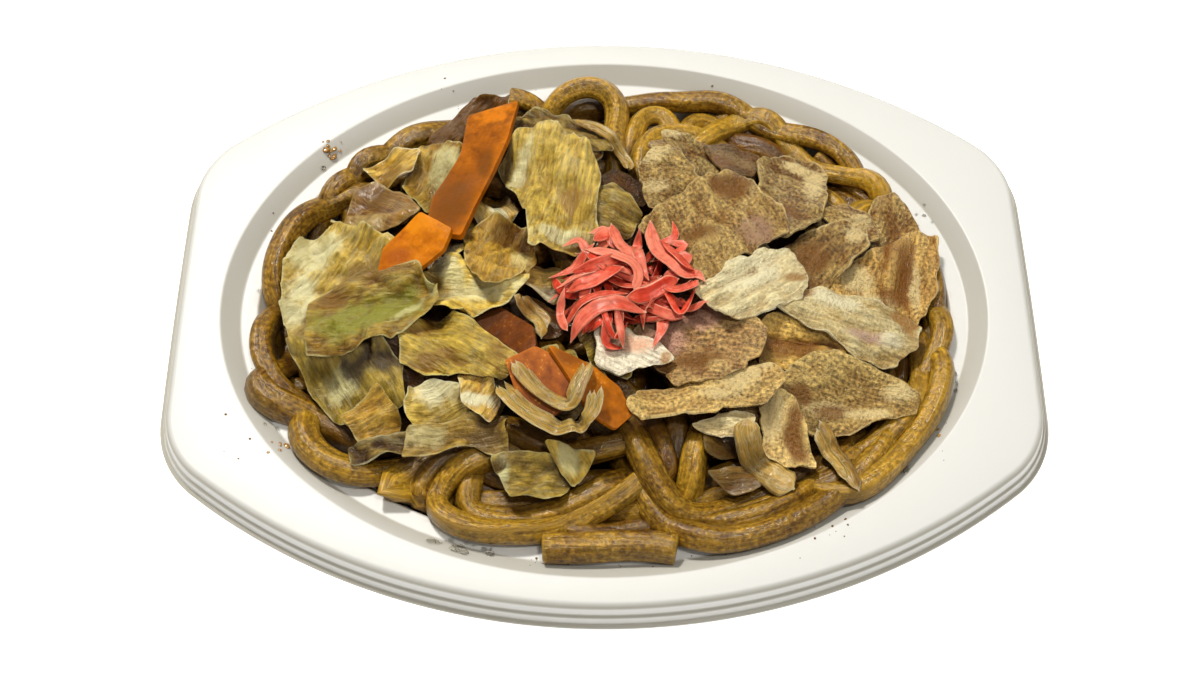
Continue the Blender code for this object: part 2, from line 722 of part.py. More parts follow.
def build_core(material: bpy.types.Material) -> bpy.types.Object:
    """Make the heap's core: it fills the bowl just clear of the wall, with a domed top.

    Args:
        material: the noodles' material.

    Returns:
        The core.
    """
    turn = np.linspace(0, 2 * math.pi, CORE_STATIONS, endpoint=False)
    edge_height = RIM_TOP + HEAP_EDGE - CORE_DROP_EDGE
    wall_share = (RIM_TOP - LEDGE_DROP - edge_height) / (BOWL_FLOOR_DROP - BOWL_CORNER - LEDGE_DROP)
    sections = [
        (-BOWL_DRAFT - BOWL_CORNER - CORE_GAP, WALL + CORE_GAP),
        (-BOWL_DRAFT - CORE_GAP, WALL + BOWL_CORNER + CORE_GAP),
        (-BOWL_DRAFT * wall_share - CORE_GAP, edge_height),
    ]
    points = []
    for offset, z in sections:
        half_length, half_width = BOWL_HALF_LENGTH + offset, BOWL_HALF_WIDTH + offset
        points += [(half_length * math.cos(angle), half_width * math.sin(angle), z) for angle in turn]
    edge_x = BOWL_HALF_LENGTH + sections[-1][0]
    edge_y = BOWL_HALF_WIDTH + sections[-1][0]
    for k in range(1, CORE_RINGS):
        share = 1 - k / CORE_RINGS
        x, y = edge_x * share * np.cos(turn), edge_y * share * np.sin(turn)
        points += list(zip(x, y, core_height(x, y)))
    points.append((0.0, 0.0, float(core_height(np.zeros(1), np.zeros(1))[0])))
    rings = len(sections) + CORE_RINGS - 1
    faces = [list(range(CORE_STATIONS))[::-1]]
    for k in range(rings - 1):
        faces += ring_faces(k * CORE_STATIONS, (k + 1) * CORE_STATIONS, CORE_STATIONS)
    last = (rings - 1) * CORE_STATIONS
    top = len(points) - 1
    faces += [(last + i, last + (i + 1) % CORE_STATIONS, top) for i in range(CORE_STATIONS)]
    return add_object("noodles", np.array(points), faces, material)


def lay_strand(points: tuple, surface: HeightMap) -> np.ndarray:
    """Lay a noodle on the surface: it rests on what is highest, bends no more than a noodle does, and sinks in.

    Args:
        points: plan points, with an optional lift.
        surface: the surface so far, which is raised by the noodle.

    Returns:
        Rows of x, y and z along the middle of the noodle.
    """
    path = smooth_curve(points, 1.5)
    rest = surface.read(surface.rolled(surface.heights, NOODLE_RADIUS), path[:, 0], path[:, 1]) - NOODLE_PRESS
    clear = surface.read(surface.rolled(surface.tray, NOODLE_RADIUS + NOODLE_CLEAR), path[:, 0], path[:, 1])
    least = np.maximum(rest, clear)
    height = least.copy()
    for _ in range(NOODLE_STIFFNESS):
        padded = np.concatenate([height[:1], height, height[-1:]])
        height = np.maximum(least, 0.25 * padded[:-2] + 0.5 * height + 0.25 * padded[2:])
    # Where many noodles cross, the upper ones press the heap down instead of standing far over it.
    level = food_height(path[:, 0], path[:, 1]) - NOODLE_RADIUS
    level -= surface.read(surface.cover, path[:, 0], path[:, 1])
    over = np.maximum(height - level, 0.0)
    pressed = np.minimum(height, level) + NOODLE_OVERTOP * np.tanh(over / NOODLE_OVERTOP)
    path[:, 2] += np.maximum(clear, pressed)
    surface.stamp_strand(path, NOODLE_RADIUS)
    return path


def tube(name: str, path: np.ndarray, material: bpy.types.Material) -> bpy.types.Object:
    """Make a noodle's solid: rings of few sides square to its path, with flat cut ends.

    Args:
        name: the object's name.
        path: rows of x, y and z along the middle.
        material: the noodles' material.

    Returns:
        The solid.
    """
    length = np.concatenate([[0], np.cumsum(np.linalg.norm(np.diff(path, axis=0), axis=1))])
    sections = max(2, round(length[-1] / NOODLE_SECTION_STEP)) + 1
    at = np.linspace(0, length[-1], sections)
    middle = np.stack([np.interp(at, length, path[:, k]) for k in range(3)], axis=1)
    points = []
    side = None
    for k in range(sections):
        along = Vector(middle[min(k + 1, sections - 1)] - middle[max(k - 1, 0)]).normalized()
        if side is None:
            side = along.cross(Vector((0, 0, 1)))
        side = (side - along * side.dot(along)).normalized()
        up = along.cross(side)
        for i in range(NOODLE_SIDES):
            angle = 2 * math.pi * i / NOODLE_SIDES
            offset = side * math.cos(angle) + up * math.sin(angle)
            points.append(tuple(Vector(middle[k]) + offset * NOODLE_RADIUS))
    faces = [list(range(NOODLE_SIDES))[::-1]]
    for k in range(sections - 1):
        faces += ring_faces(k * NOODLE_SIDES, (k + 1) * NOODLE_SIDES, NOODLE_SIDES)
    faces.append(list(range((sections - 1) * NOODLE_SIDES, sections * NOODLE_SIDES)))
    return add_object(name, np.array(points), faces, material)


def wall_row(inset: float, start: float, end: float) -> tuple:
    """Plan points of a noodle that follows the bowl's wall.

    Args:
        inset: distance from the bowl's upper edge, in mm.
        start: first direction, in degrees.
        end: last direction, in degrees.

    Returns:
        Plan points with a small seeded sway.
    """
    points = []
    for angle in np.radians(np.linspace(start, end, max(3, round(abs(end - start) / 12)))):
        sway = inset + rng.uniform(0.0, 1.2)
        half_length, half_width = BOWL_HALF_LENGTH - sway, BOWL_HALF_WIDTH - sway
        points.append((half_length * math.cos(angle), half_width * math.sin(angle)))
    return tuple(points)


def hidden_noodle() -> tuple:
    """Plan points of a noodle that crosses the middle of the heap, mostly under the toppings.

    Returns:
        Plan points of a seeded bend.
    """
    heading = rng.uniform(0, 2 * math.pi)
    x, y = rng.uniform(-45, 45), rng.uniform(-30, 30)
    points = []
    for _ in range(5):
        points.append((x, y))
        heading += rng.uniform(-0.7, 0.7)
        x, y = x + 13 * math.cos(heading), y + 10 * math.sin(heading)
    return tuple(points)


def join(base: bpy.types.Object, pieces: list) -> None:
    """Join pieces to a base with one Boolean union, and keep only the largest closed body.

    Args:
        base: the object that takes the pieces in.
        pieces: the objects that are joined and removed.
    """
    holder = bpy.data.collections.new(base.name + "_pieces")
    for piece in pieces:
        holder.objects.link(piece)
        bpy.context.scene.collection.objects.unlink(piece)
    union = base.modifiers.new("Union", "BOOLEAN")
    union.operation = "UNION"
    union.operand_type = "COLLECTION"
    union.collection = holder
    union.solver = "MANIFOLD"
    bpy.context.view_layer.update()
    evaluated = base.evaluated_get(bpy.context.evaluated_depsgraph_get())
    joined = bpy.data.meshes.new_from_object(evaluated)
    base.modifiers.clear()
    base.data = joined
    for piece in pieces:
        bpy.data.objects.remove(piece)
    bpy.data.collections.remove(holder)
    keep_largest_body(joined)


def keep_largest_body(mesh: bpy.types.Mesh) -> None:
    """Delete sealed hollows and scraps, which are bodies of their own beside the largest.

    Args:
        mesh: the mesh to clean.
    """
    shape = bmesh.new()
    shape.from_mesh(mesh)
    bmesh.ops.triangulate(shape, faces=shape.faces)
    bodies = []
    left = set(shape.verts)
    while left:
        body = {left.pop()}
        edge = list(body)
        while edge:
            found = {other for vert in edge for link in vert.link_edges for other in link.verts} - body
            body |= found
            edge = list(found)
        left -= body
        bodies.append(body)
    bodies.sort(key=len)
    bmesh.ops.delete(shape, geom=[vert for body in bodies[:-1] for vert in body], context="VERTS")
    shape.to_mesh(mesh)
    shape.free()


def mesh_arrays(mesh: bpy.types.Mesh) -> tuple:
    """Points in millimetres and triangles of a mesh.

    Args:
        mesh: a triangulated mesh.

    Returns:
        Rows of x, y and z, and rows of three indices.
    """
    points = np.array([tuple(v.co) for v in mesh.vertices]) / MM
    return points, np.array([tuple(p.vertices) for p in mesh.polygons])


# ---------------------------------------------------------------- toppings


def plan_triangles(outline: np.ndarray, step: float) -> tuple:
    """Triangles that fill an outline in plan, with a few points inside.

    Args:
        outline: rows of x, y and lift, once round.
        step: distance between the points inside, in mm.

    Returns:
        Rows of x and y, rows of three indices, and the lift of each point.
    """
    border = outline[:, :2]
    inside = []
    for row, y in enumerate(np.arange(border[:, 1].min(), border[:, 1].max(), step * 0.87)):
        for x in np.arange(border[:, 0].min() + step * 0.5 * (row % 2), border[:, 0].max(), step):
            if is_inside(border, x, y) and np.hypot(*(border - (x, y)).T).min() > 0.55 * step:
                inside.append((x, y))
    places = [Vector(p) for p in list(border) + inside]
    face = [list(range(len(border)))]
    verts, _, faces, *_ = delaunay_2d_cdt(places, [], face, 1, 1e-4)
    plan = np.array([tuple(v) for v in verts])
    distance = np.hypot(plan[:, None, 0] - border[None, :, 0], plan[:, None, 1] - border[None, :, 1])
    weight = 1 / (distance + 0.5) ** 3
    lift = (weight * outline[:, 2]).sum(1) / weight.sum(1)
    return plan, np.array([tuple(f) for f in faces]), lift


def is_inside(border: np.ndarray, x: float, y: float) -> bool:
    """Whether a place lies inside a closed outline.

    Args:
        border: rows of x and y, once round.
        x: place in mm.
        y: place in mm.

    Returns:
        True inside it.
    """
    following = np.roll(border, -1, axis=0)
    spans = (border[:, 1] > y) != (following[:, 1] > y)
    rise = np.where(spans, following[:, 1] - border[:, 1], 1.0)
    crossing = border[:, 0] + (y - border[:, 1]) / rise * (following[:, 0] - border[:, 0])
    return bool((spans & (crossing > x)).sum() % 2)


def settle(plan: np.ndarray, faces: np.ndarray, surface: HeightMap, gap: float) -> np.ndarray:
    """Lowest heights at which a limp sheet clears the surface.

    Args:
        plan: rows of x and y of the sheet's points.
        faces: its triangles.
        surface: the surface below it.
        gap: least gap to the surface, in mm.

    Returns:
        A height in mm for each point.
    """
    obstacle = surface.heights.copy()
    for shift in ((1, 0), (-1, 0), (0, 1), (0, -1)):
        obstacle = np.maximum(obstacle, np.roll(surface.heights, shift, axis=(0, 1)))
    under = []
    for face in faces:
        columns, rows, weights = surface.cells_under(plan[face])
        under.append((face, obstacle[columns, rows] + gap, weights))
    height = surface.read(obstacle, plan[:, 0], plan[:, 1]) + gap
    near = np.zeros((len(plan), len(plan)))
    for a, b, c in faces:
        near[[a, b, b, c, c, a], [b, a, c, b, a, c]] = 1
    for turn in range(SHEET_STIFFNESS + 1):
        if turn:
            height = 0.5 * height + 0.5 * near @ height / near.sum(1)
        raised = height.copy()
        for face, least, weights in under:
            short = float((least - weights @ height[face]).max(initial=0.0))
            raised[face] = np.maximum(raised[face], height[face] + max(0.0, short))
        height = raised
    return height


def sheet_object(name: str, outline: np.ndarray, thickness: float, wave: float, surface: HeightMap,
                 material: bpy.types.Material, gap: float = GAP) -> bpy.types.Object:
    """Lay one topping on the surface and make its solid, with the same triangles on both faces.

    Args:
        name: the object's name.
        outline: rows of x, y and lift, once round.
        thickness: in mm.
        wave: height of the waves over the settled sheet, in mm.
        surface: the surface so far, which is raised by the topping.
        material: the topping's material.
        gap: least gap to the surface, in mm; below 0 the piece sinks in.

    Returns:
        The topping.
    """
    plan, faces, lift = plan_triangles(outline, SHEET_STEP)
    # The outlines were taken from the picture, where what lies higher looks further away.
    height = settle(plan, faces, surface, gap) - food_height(plan[:, 0], plan[:, 1])
    plan[:, 1] -= PARALLAX * height.mean()
    phase = rng.uniform(0, 6), rng.uniform(0, 6)
    swing = np.sin(2 * math.pi * plan[:, 0] / WAVE_LENGTH + phase[0])
    swing += np.sin(2 * math.pi * plan[:, 1] / WAVE_LENGTH + phase[1])
    low = settle(plan, faces, surface, gap) + lift + wave * (swing + 2) / 4
    count = len(plan)
    bottom = np.column_stack([plan, low])
    top = np.column_stack([plan, low + thickness])
    edges = {}
    for a, b, c in faces:
        for edge in ((a, b), (b, c), (c, a)):
            edges[edge] = edge[::-1] not in edges and edges.get(edge, True)
            if edge[::-1] in edges:
                edges[edge[::-1]] = edges[edge] = False
    sides = [(a, b, b + count, a + count) for (a, b), open_edge in edges.items() if open_edge]
    solid = [face[::-1] for face in faces.tolist()] + (faces + count).tolist() + sides
    made = add_object(name, np.concatenate([bottom, top]), solid, material)
    surface.stamp_faces(top, faces)
    return made


def build_ginger(surface: HeightMap, material: bpy.types.Material) -> None:
    """Make the ginger: a low dome with the shreds that show lying on it, joined into one solid.

    Args:
        surface: the surface so far, which is raised by the ginger.
        material: the ginger's material.
    """
    turn = np.linspace(0, 2 * math.pi, 14, endpoint=False)
    outline = np.stack(
        [
            GINGER_CENTRE[0] + GINGER_HALF_LENGTH * np.cos(turn),
            GINGER_CENTRE[1] + GINGER_HALF_WIDTH * np.sin(turn),
            np.zeros(len(turn)),
        ],
        axis=1,
    )
    below = surface.heights.copy()
    dome = sheet_object("ginger", outline, GINGER_RISE, 0.0, surface, material)
    shreds = []
    for i, (width, *points) in enumerate(GINGER):
        # A shred clears the other food, but sinks into the ginger that lies below it.
        ginger_only = np.where(surface.heights > below, surface.heights - GAP - GINGER_SINK, below)
        surface.heights = np.maximum(below, ginger_only)
        line = ribbon_outline(width, points, RIBBON_STEP)
        shreds.append(sheet_object(f"shred_{i}", line, GINGER_THICKNESS, 0.0, surface, material))
    join(dome, shreds)


def build_noodles(surface: HeightMap, material: bpy.types.Material) -> None:
    """Lay every noodle on the core and join them into one solid.

    Args:
        surface: the surface so far, which is raised by the noodles.
        material: the noodles' material.
    """
    core = build_core(material)
    strands = [hidden_noodle() for _ in range(HIDDEN_NOODLES)]
    strands += [wall_row(*row) for row in WALL_ROWS]
    strands += NOODLES.values()
    tubes = [tube(f"strand_{i}", lay_strand(points, surface), material) for i, points in enumerate(strands)]
    join(core, tubes)
    surface.heights = np.maximum(surface.tray, core_height(surface.x, surface.y))
    surface.stamp_faces(*mesh_arrays(core.data))


def main() -> None:
    """Clear the scene and build the dish from the tray up."""
    for old in list(bpy.data.objects):
        bpy.data.objects.remove(old)
    surface = HeightMap()
    build_tray(make_material("tray foam", (0.91, 0.91, 0.87), 0.5))
    build_noodles(surface, make_material("noodle", (0.36, 0.22, 0.06), 0.3))
    materials = {name: make_material(name, kind.colour, kind.roughness) for name, kind in KINDS.items()}
    for name, points in SHEETS.items():
        kind = name.split("_")[0]
        sheet_object(name, cut_outline(points, SHEET_STEP), KINDS[kind].thickness, KINDS[kind].wave, surface, materials[kind])
    for name, (width, *points) in RIBBONS.items():
        line = ribbon_outline(width, points, RIBBON_STEP)
        sheet_object(name, line, KINDS["onion"].thickness, KINDS["onion"].wave, surface, materials["onion"])
    build_ginger(surface, make_material("pickled ginger", (0.75, 0.12, 0.10), 0.3))


if __name__ == "__main__":
    main()
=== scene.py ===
"""The looks of yaki udon in an oval takeaway tray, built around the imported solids.

Sizes and places are in millimetres unless they are said to be in metres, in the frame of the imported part:
the tray's long side runs along X, its near long edge faces -Y and its underside lies at Z = 0. Meshes are
turned into metres when they are made.

The food is laid down as it lies in the tray. A height map in plan holds the highest surface so far. Noodles
are laid on it and then pushed apart until they only touch. Each topping settles on them as a limp sheet.
"""

import logging
import math
import random
from dataclasses import dataclass, field, replace
from enum import Enum
from functools import partial
from typing import Any

import bmesh
import bpy
import numpy as np
from mathutils import Euler, Matrix, Vector


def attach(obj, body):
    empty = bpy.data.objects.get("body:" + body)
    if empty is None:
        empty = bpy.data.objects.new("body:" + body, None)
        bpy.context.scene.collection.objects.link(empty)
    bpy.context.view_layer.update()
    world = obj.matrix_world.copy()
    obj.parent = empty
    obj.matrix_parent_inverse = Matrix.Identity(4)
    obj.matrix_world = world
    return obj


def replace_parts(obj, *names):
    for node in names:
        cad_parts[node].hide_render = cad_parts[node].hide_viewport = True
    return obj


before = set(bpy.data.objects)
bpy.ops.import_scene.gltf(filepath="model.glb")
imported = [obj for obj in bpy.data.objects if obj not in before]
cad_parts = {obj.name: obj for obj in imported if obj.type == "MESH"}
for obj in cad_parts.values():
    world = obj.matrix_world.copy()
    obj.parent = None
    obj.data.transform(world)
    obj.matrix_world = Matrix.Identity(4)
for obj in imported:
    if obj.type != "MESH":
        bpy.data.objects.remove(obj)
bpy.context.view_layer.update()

LOG = logging.getLogger("yaki_udon")
# One millimetre in metres, the first seed, the height map's spacing and the air between two pieces.
MM = 0.001
SEED = 7
CELL = 0.6
GAP = 0.3


# ---------------------------------------------------------------- small helpers


def linear(hex_colour: str) -> tuple[float, float, float, float]:
    """Turn an sRGB colour of six hex digits into linear red, green, blue and an alpha of 1."""
    parts = [int(hex_colour[i : i + 2], 16) / 255 for i in (0, 2, 4)]
    red, green, blue = (p / 12.92 if p <= 0.04045 else ((p + 0.055) / 1.055) ** 2.4 for p in parts)
    return red, green, blue, 1.0


def blended(first: str, second: str, share: float) -> tuple[float, ...]:
    """Mix two sRGB hex colours into a linear one, by the share of the second."""
    return tuple(a * (1 - share) + b * share for a, b in zip(linear(first), linear(second)))


def per(size: float) -> float:
    """Texture scale in metres that gives features of this size in mm."""
    return 1.0 / (size * MM)


def add_node(tree: bpy.types.NodeTree, kind: str, inputs: dict, out: Any = 0, **settings: Any) -> Any:
    """Add a node with its settings, values and links.

    Args:
        tree: the node tree.
        kind: the node's type, without the word ShaderNode.
        inputs: by socket name or number, either a value or the socket to link from.
        out: name or number of the output that is wanted.
        settings: the node's own properties.

    Returns:
        That output, or None for a node without outputs.
    """
    made = tree.nodes.new("ShaderNode" + kind)
    for name, value in settings.items():
        setattr(made, name, value)
    for key, value in inputs.items():
        if isinstance(value, bpy.types.NodeSocket):
            tree.links.new(value, made.inputs[key])
        else:
            made.inputs[key].default_value = value
    return made.outputs[out] if made.outputs else None


def new_material(name: str) -> tuple[bpy.types.Material, Any]:
    """Make an empty material.

    Args:
        name: the material's name.

    Returns:
        The material, and add_node for its own tree.
    """
    material = bpy.data.materials.new(name)
    material.use_nodes = True
    material.node_tree.nodes.clear()
    return material, partial(add_node, material.node_tree)


def smooth_curve(points: tuple, spacing: float, closed: bool = False) -> np.ndarray:
    """Read points off a smooth curve that passes through the given ones.

    Args:
        points: rows of two or three numbers; a missing third number is 0.
        spacing: distance between the points that are returned, in mm.
        closed: whether the curve returns to its first point.

    Returns:
        Rows of x, y and lift.
    """
    given = full_rows(points)
    count = len(given)
    out = []
    for i in range(count if closed else count - 1):
        if closed:
            a, b, c, d = (given[(i + k) % count] for k in (-1, 0, 1, 2))
        else:
            a, b, c, d = (given[min(max(i + k, 0), count - 1)] for k in (-1, 0, 1, 2))
        steps = max(1, round(float(np.hypot(*(c - b)[:2])) / spacing))
        for t in np.arange(steps) / steps:
            square = (2 * a - 5 * b + 4 * c - d) * t**2
            cube = (3 * b - a - 3 * c + d) * t**3
            out.append(0.5 * (2 * b + (c - a) * t + square + cube))
    if not closed:
        out.append(given[-1])
    return np.array(out)


def ripple(x: np.ndarray, y: np.ndarray, size: float, seed: int) -> np.ndarray:
    """Smooth random relief in plan, from a seeded lattice.

    Args:
        x, y: places in mm.
        size: distance between the lattice points, in mm.
        seed: which lattice.

    Returns:
        Heights from -1 to 1.
    """
    lattice = np.random.default_rng(seed).uniform(-1, 1, (64, 64))
    column, row = np.floor(x / size).astype(int), np.floor(y / size).astype(int)
    right, up = x / size - column, y / size - row
    right, up = right * right * (3 - 2 * right), up * up * (3 - 2 * up)
    near, far = column % 64, (column + 1) % 64
    levels = (row % 64, (row + 1) % 64)
    low, high = (lattice[near, level] * (1 - right) + lattice[far, level] * right for level in levels)
    return low * (1 - up) + high * up


def border_distance(border: np.ndarray, x: np.ndarray, y: np.ndarray) -> tuple[np.ndarray, np.ndarray]:
    """Distance of places to a closed outline, and the way out.

    Args:
        border: rows of x and y, anticlockwise.
        x, y: places in mm, each in one row.

    Returns:
        Distances in mm, above 0 inside, and for each place the outline's outward unit vector nearest to it.
    """
    following = np.roll(border, -1, axis=0)
    side = following - border
    length = np.maximum((side**2).sum(1), 1e-9)
    dx, dy = x[:, None] - border[None, :, 0], y[:, None] - border[None, :, 1]
    along = np.clip((dx * side[:, 0] + dy * side[:, 1]) / length, 0, 1)
    distance = np.hypot(dx - along * side[:, 0], dy - along * side[:, 1])
    nearest = distance.argmin(1)
    spans = (border[None, :, 1] > y[:, None]) != (following[None, :, 1] > y[:, None])
    rise = np.where(np.abs(side[:, 1]) < 1e-9, 1e-9, side[:, 1])
    crossing = border[:, 0] + dy / rise * side[:, 0]
    inside = (spans & (crossing > x[:, None])).sum(1) % 2 == 1
    outward = np.stack([side[:, 1], -side[:, 0]], axis=1) / np.sqrt(length)[:, None]
    return np.where(inside, 1, -1) * distance[np.arange(len(x)), nearest], outward[nearest]


def resample(path: np.ndarray, spacing: float) -> np.ndarray:
    """Even out a path's points.

    Args:
        path: rows of x, y and z.
        spacing: distance between the new points, in mm.

    Returns:
        Rows of x, y and z.
    """
    length = np.concatenate([[0], np.cumsum(np.linalg.norm(np.diff(path, axis=0), axis=1))])
    at = np.linspace(0, length[-1], max(3, round(length[-1] / spacing)) + 1)
    return np.stack([np.interp(at, length, path[:, k]) for k in range(3)], axis=1)


def places_of(verts: Any) -> np.ndarray:
    """Places of vertices, as rows of x, y and z."""
    return np.array([tuple(vert.co) for vert in verts])


def only(kind: type, items: list) -> list:
    """Those of a bmesh operator's results that are of one kind."""
    return [item for item in items if isinstance(item, kind)]


def along_and_across(x: np.ndarray, y: np.ndarray, turn: float) -> tuple[np.ndarray, np.ndarray]:
    """Places in plan, measured along a direction in radians and across it."""
    return x * math.cos(turn) + y * math.sin(turn), y * math.cos(turn) - x * math.sin(turn)


def mesh_of(name: str, shape: bmesh.types.BMesh) -> bpy.types.Mesh:
    """Turn a bmesh in millimetres into a mesh in metres.

    Args:
        name: the mesh's name.
        shape: the bmesh, which is freed.

    Returns:
        The mesh.
    """
    bmesh.ops.scale(shape, vec=(MM, MM, MM), verts=shape.verts)
    mesh = bpy.data.meshes.new(name)
    shape.to_mesh(mesh)
    shape.free()
    return mesh


def place(name: str, mesh: bpy.types.Mesh, material: bpy.types.Material) -> bpy.types.Object:
    """Put a mesh into the scene as an object at the origin.

    Args:
        name: the object's name.
        mesh: its mesh.
        material: its material.

    Returns:
        The object.
    """
    mesh.materials.append(material)
    mesh.shade_smooth()
    made = bpy.data.objects.new(name, mesh)
    bpy.context.scene.collection.objects.link(made)
    return made


def evened(least: np.ndarray, rounds: int) -> np.ndarray:
    """Smooth heights along a strand without going below the least ones.

    Args:
        least: the lowest height at each point.
        rounds: how often they are smoothed.

    Returns:
        The heights.
    """
    height = least.copy()
    for _ in range(rounds):
        padded = np.concatenate([height[:1], height, height[-1:]])
        height = np.maximum(least, 0.25 * padded[:-2] + 0.5 * height + 0.25 * padded[2:])
    return height


def full_rows(points: tuple) -> np.ndarray:
    """Plan points as rows of x, y and lift; a missing lift is 0."""
    return np.array([(*point, 0)[:3] for point in points], float)


# ---------------------------------------------------------------- finishes


class Mark(Enum):
    """A colour that food takes in places. The value is the name of the attribute that holds how much."""

    TINT = "tinted"
    PALE = "pale"
    BROWN = "browned"


@dataclass(frozen=True)
class TrayFinish:
    """Polystyrene foam sheet, thermoformed: white and satin, with painted shade on its wall, step and
    grooves.
    """

    white: str = "E6E7E9"
    # The grey of the painted shade on the wall, the step and the skirt's grooves.
    drawn: str = "B4B1A8"
    sauce: str = "A88452"
    # Real cells are about 0.3 mm across. They are drawn coarser, so that they show at all.
    cell_size: float = 0.9
    film_size: float = 7.0
    sag_size: float = 20.0

    def material(self) -> bpy.types.Material:
        """Build the material.

        Returns:
            The tray's material.
        """
        material, node = new_material("polystyrene foam, thermoformed satin")
        spot = node("TexCoord", {}, "Object")
        cells = node("TexVoronoi", {"Vector": spot, "Scale": per(self.cell_size)})
        soft = node("TexNoise", {"Vector": spot, "Scale": per(self.sag_size), "Detail": 3.0})
        film = node("TexNoise", {"Vector": spot, "Scale": per(self.film_size), "Detail": 6.0})
        # The drawn attribute holds how much painted shade lies at each place; film holds the sauce.
        near, thin = (node("Attribute", {}, "Fac", attribute_name=name) for name in ("film", "drawn"))
        wet = node("Math", {0: near, 1: film}, operation="MULTIPLY")
        amount = node("MapRange", {"Value": wet, "From Min": 0.36, "From Max": 0.7, "To Max": 0.5})
        # Slots 6 and 7 of a colour mix are its two colours, slot 0 is its share, and output 2 the result.
        foam = node("Mix", {0: thin, 6: linear(self.white), 7: linear(self.drawn)}, 2, data_type="RGBA")
        stained = node("Mix", {0: amount, 6: foam, 7: linear(self.sauce)}, 2, data_type="RGBA")
        dimple = node("Bump", {"Height": cells, "Strength": 0.05, "Distance": 0.0001})
        sag = node("Bump", {"Height": soft, "Strength": 0.25, "Distance": 0.0008, "Normal": dimple})
        foam_look = {"Base Color": stained, "Roughness": 0.42, "IOR": 1.49, "Normal": sag}
        inside = {"Subsurface Weight": 0.25, "Subsurface Radius": (1.0, 1.0, 1.0), "Subsurface Scale": 0.002}
        node("OutputMaterial", {"Surface": node("BsdfPrincipled", foam_look | inside)})
        return material


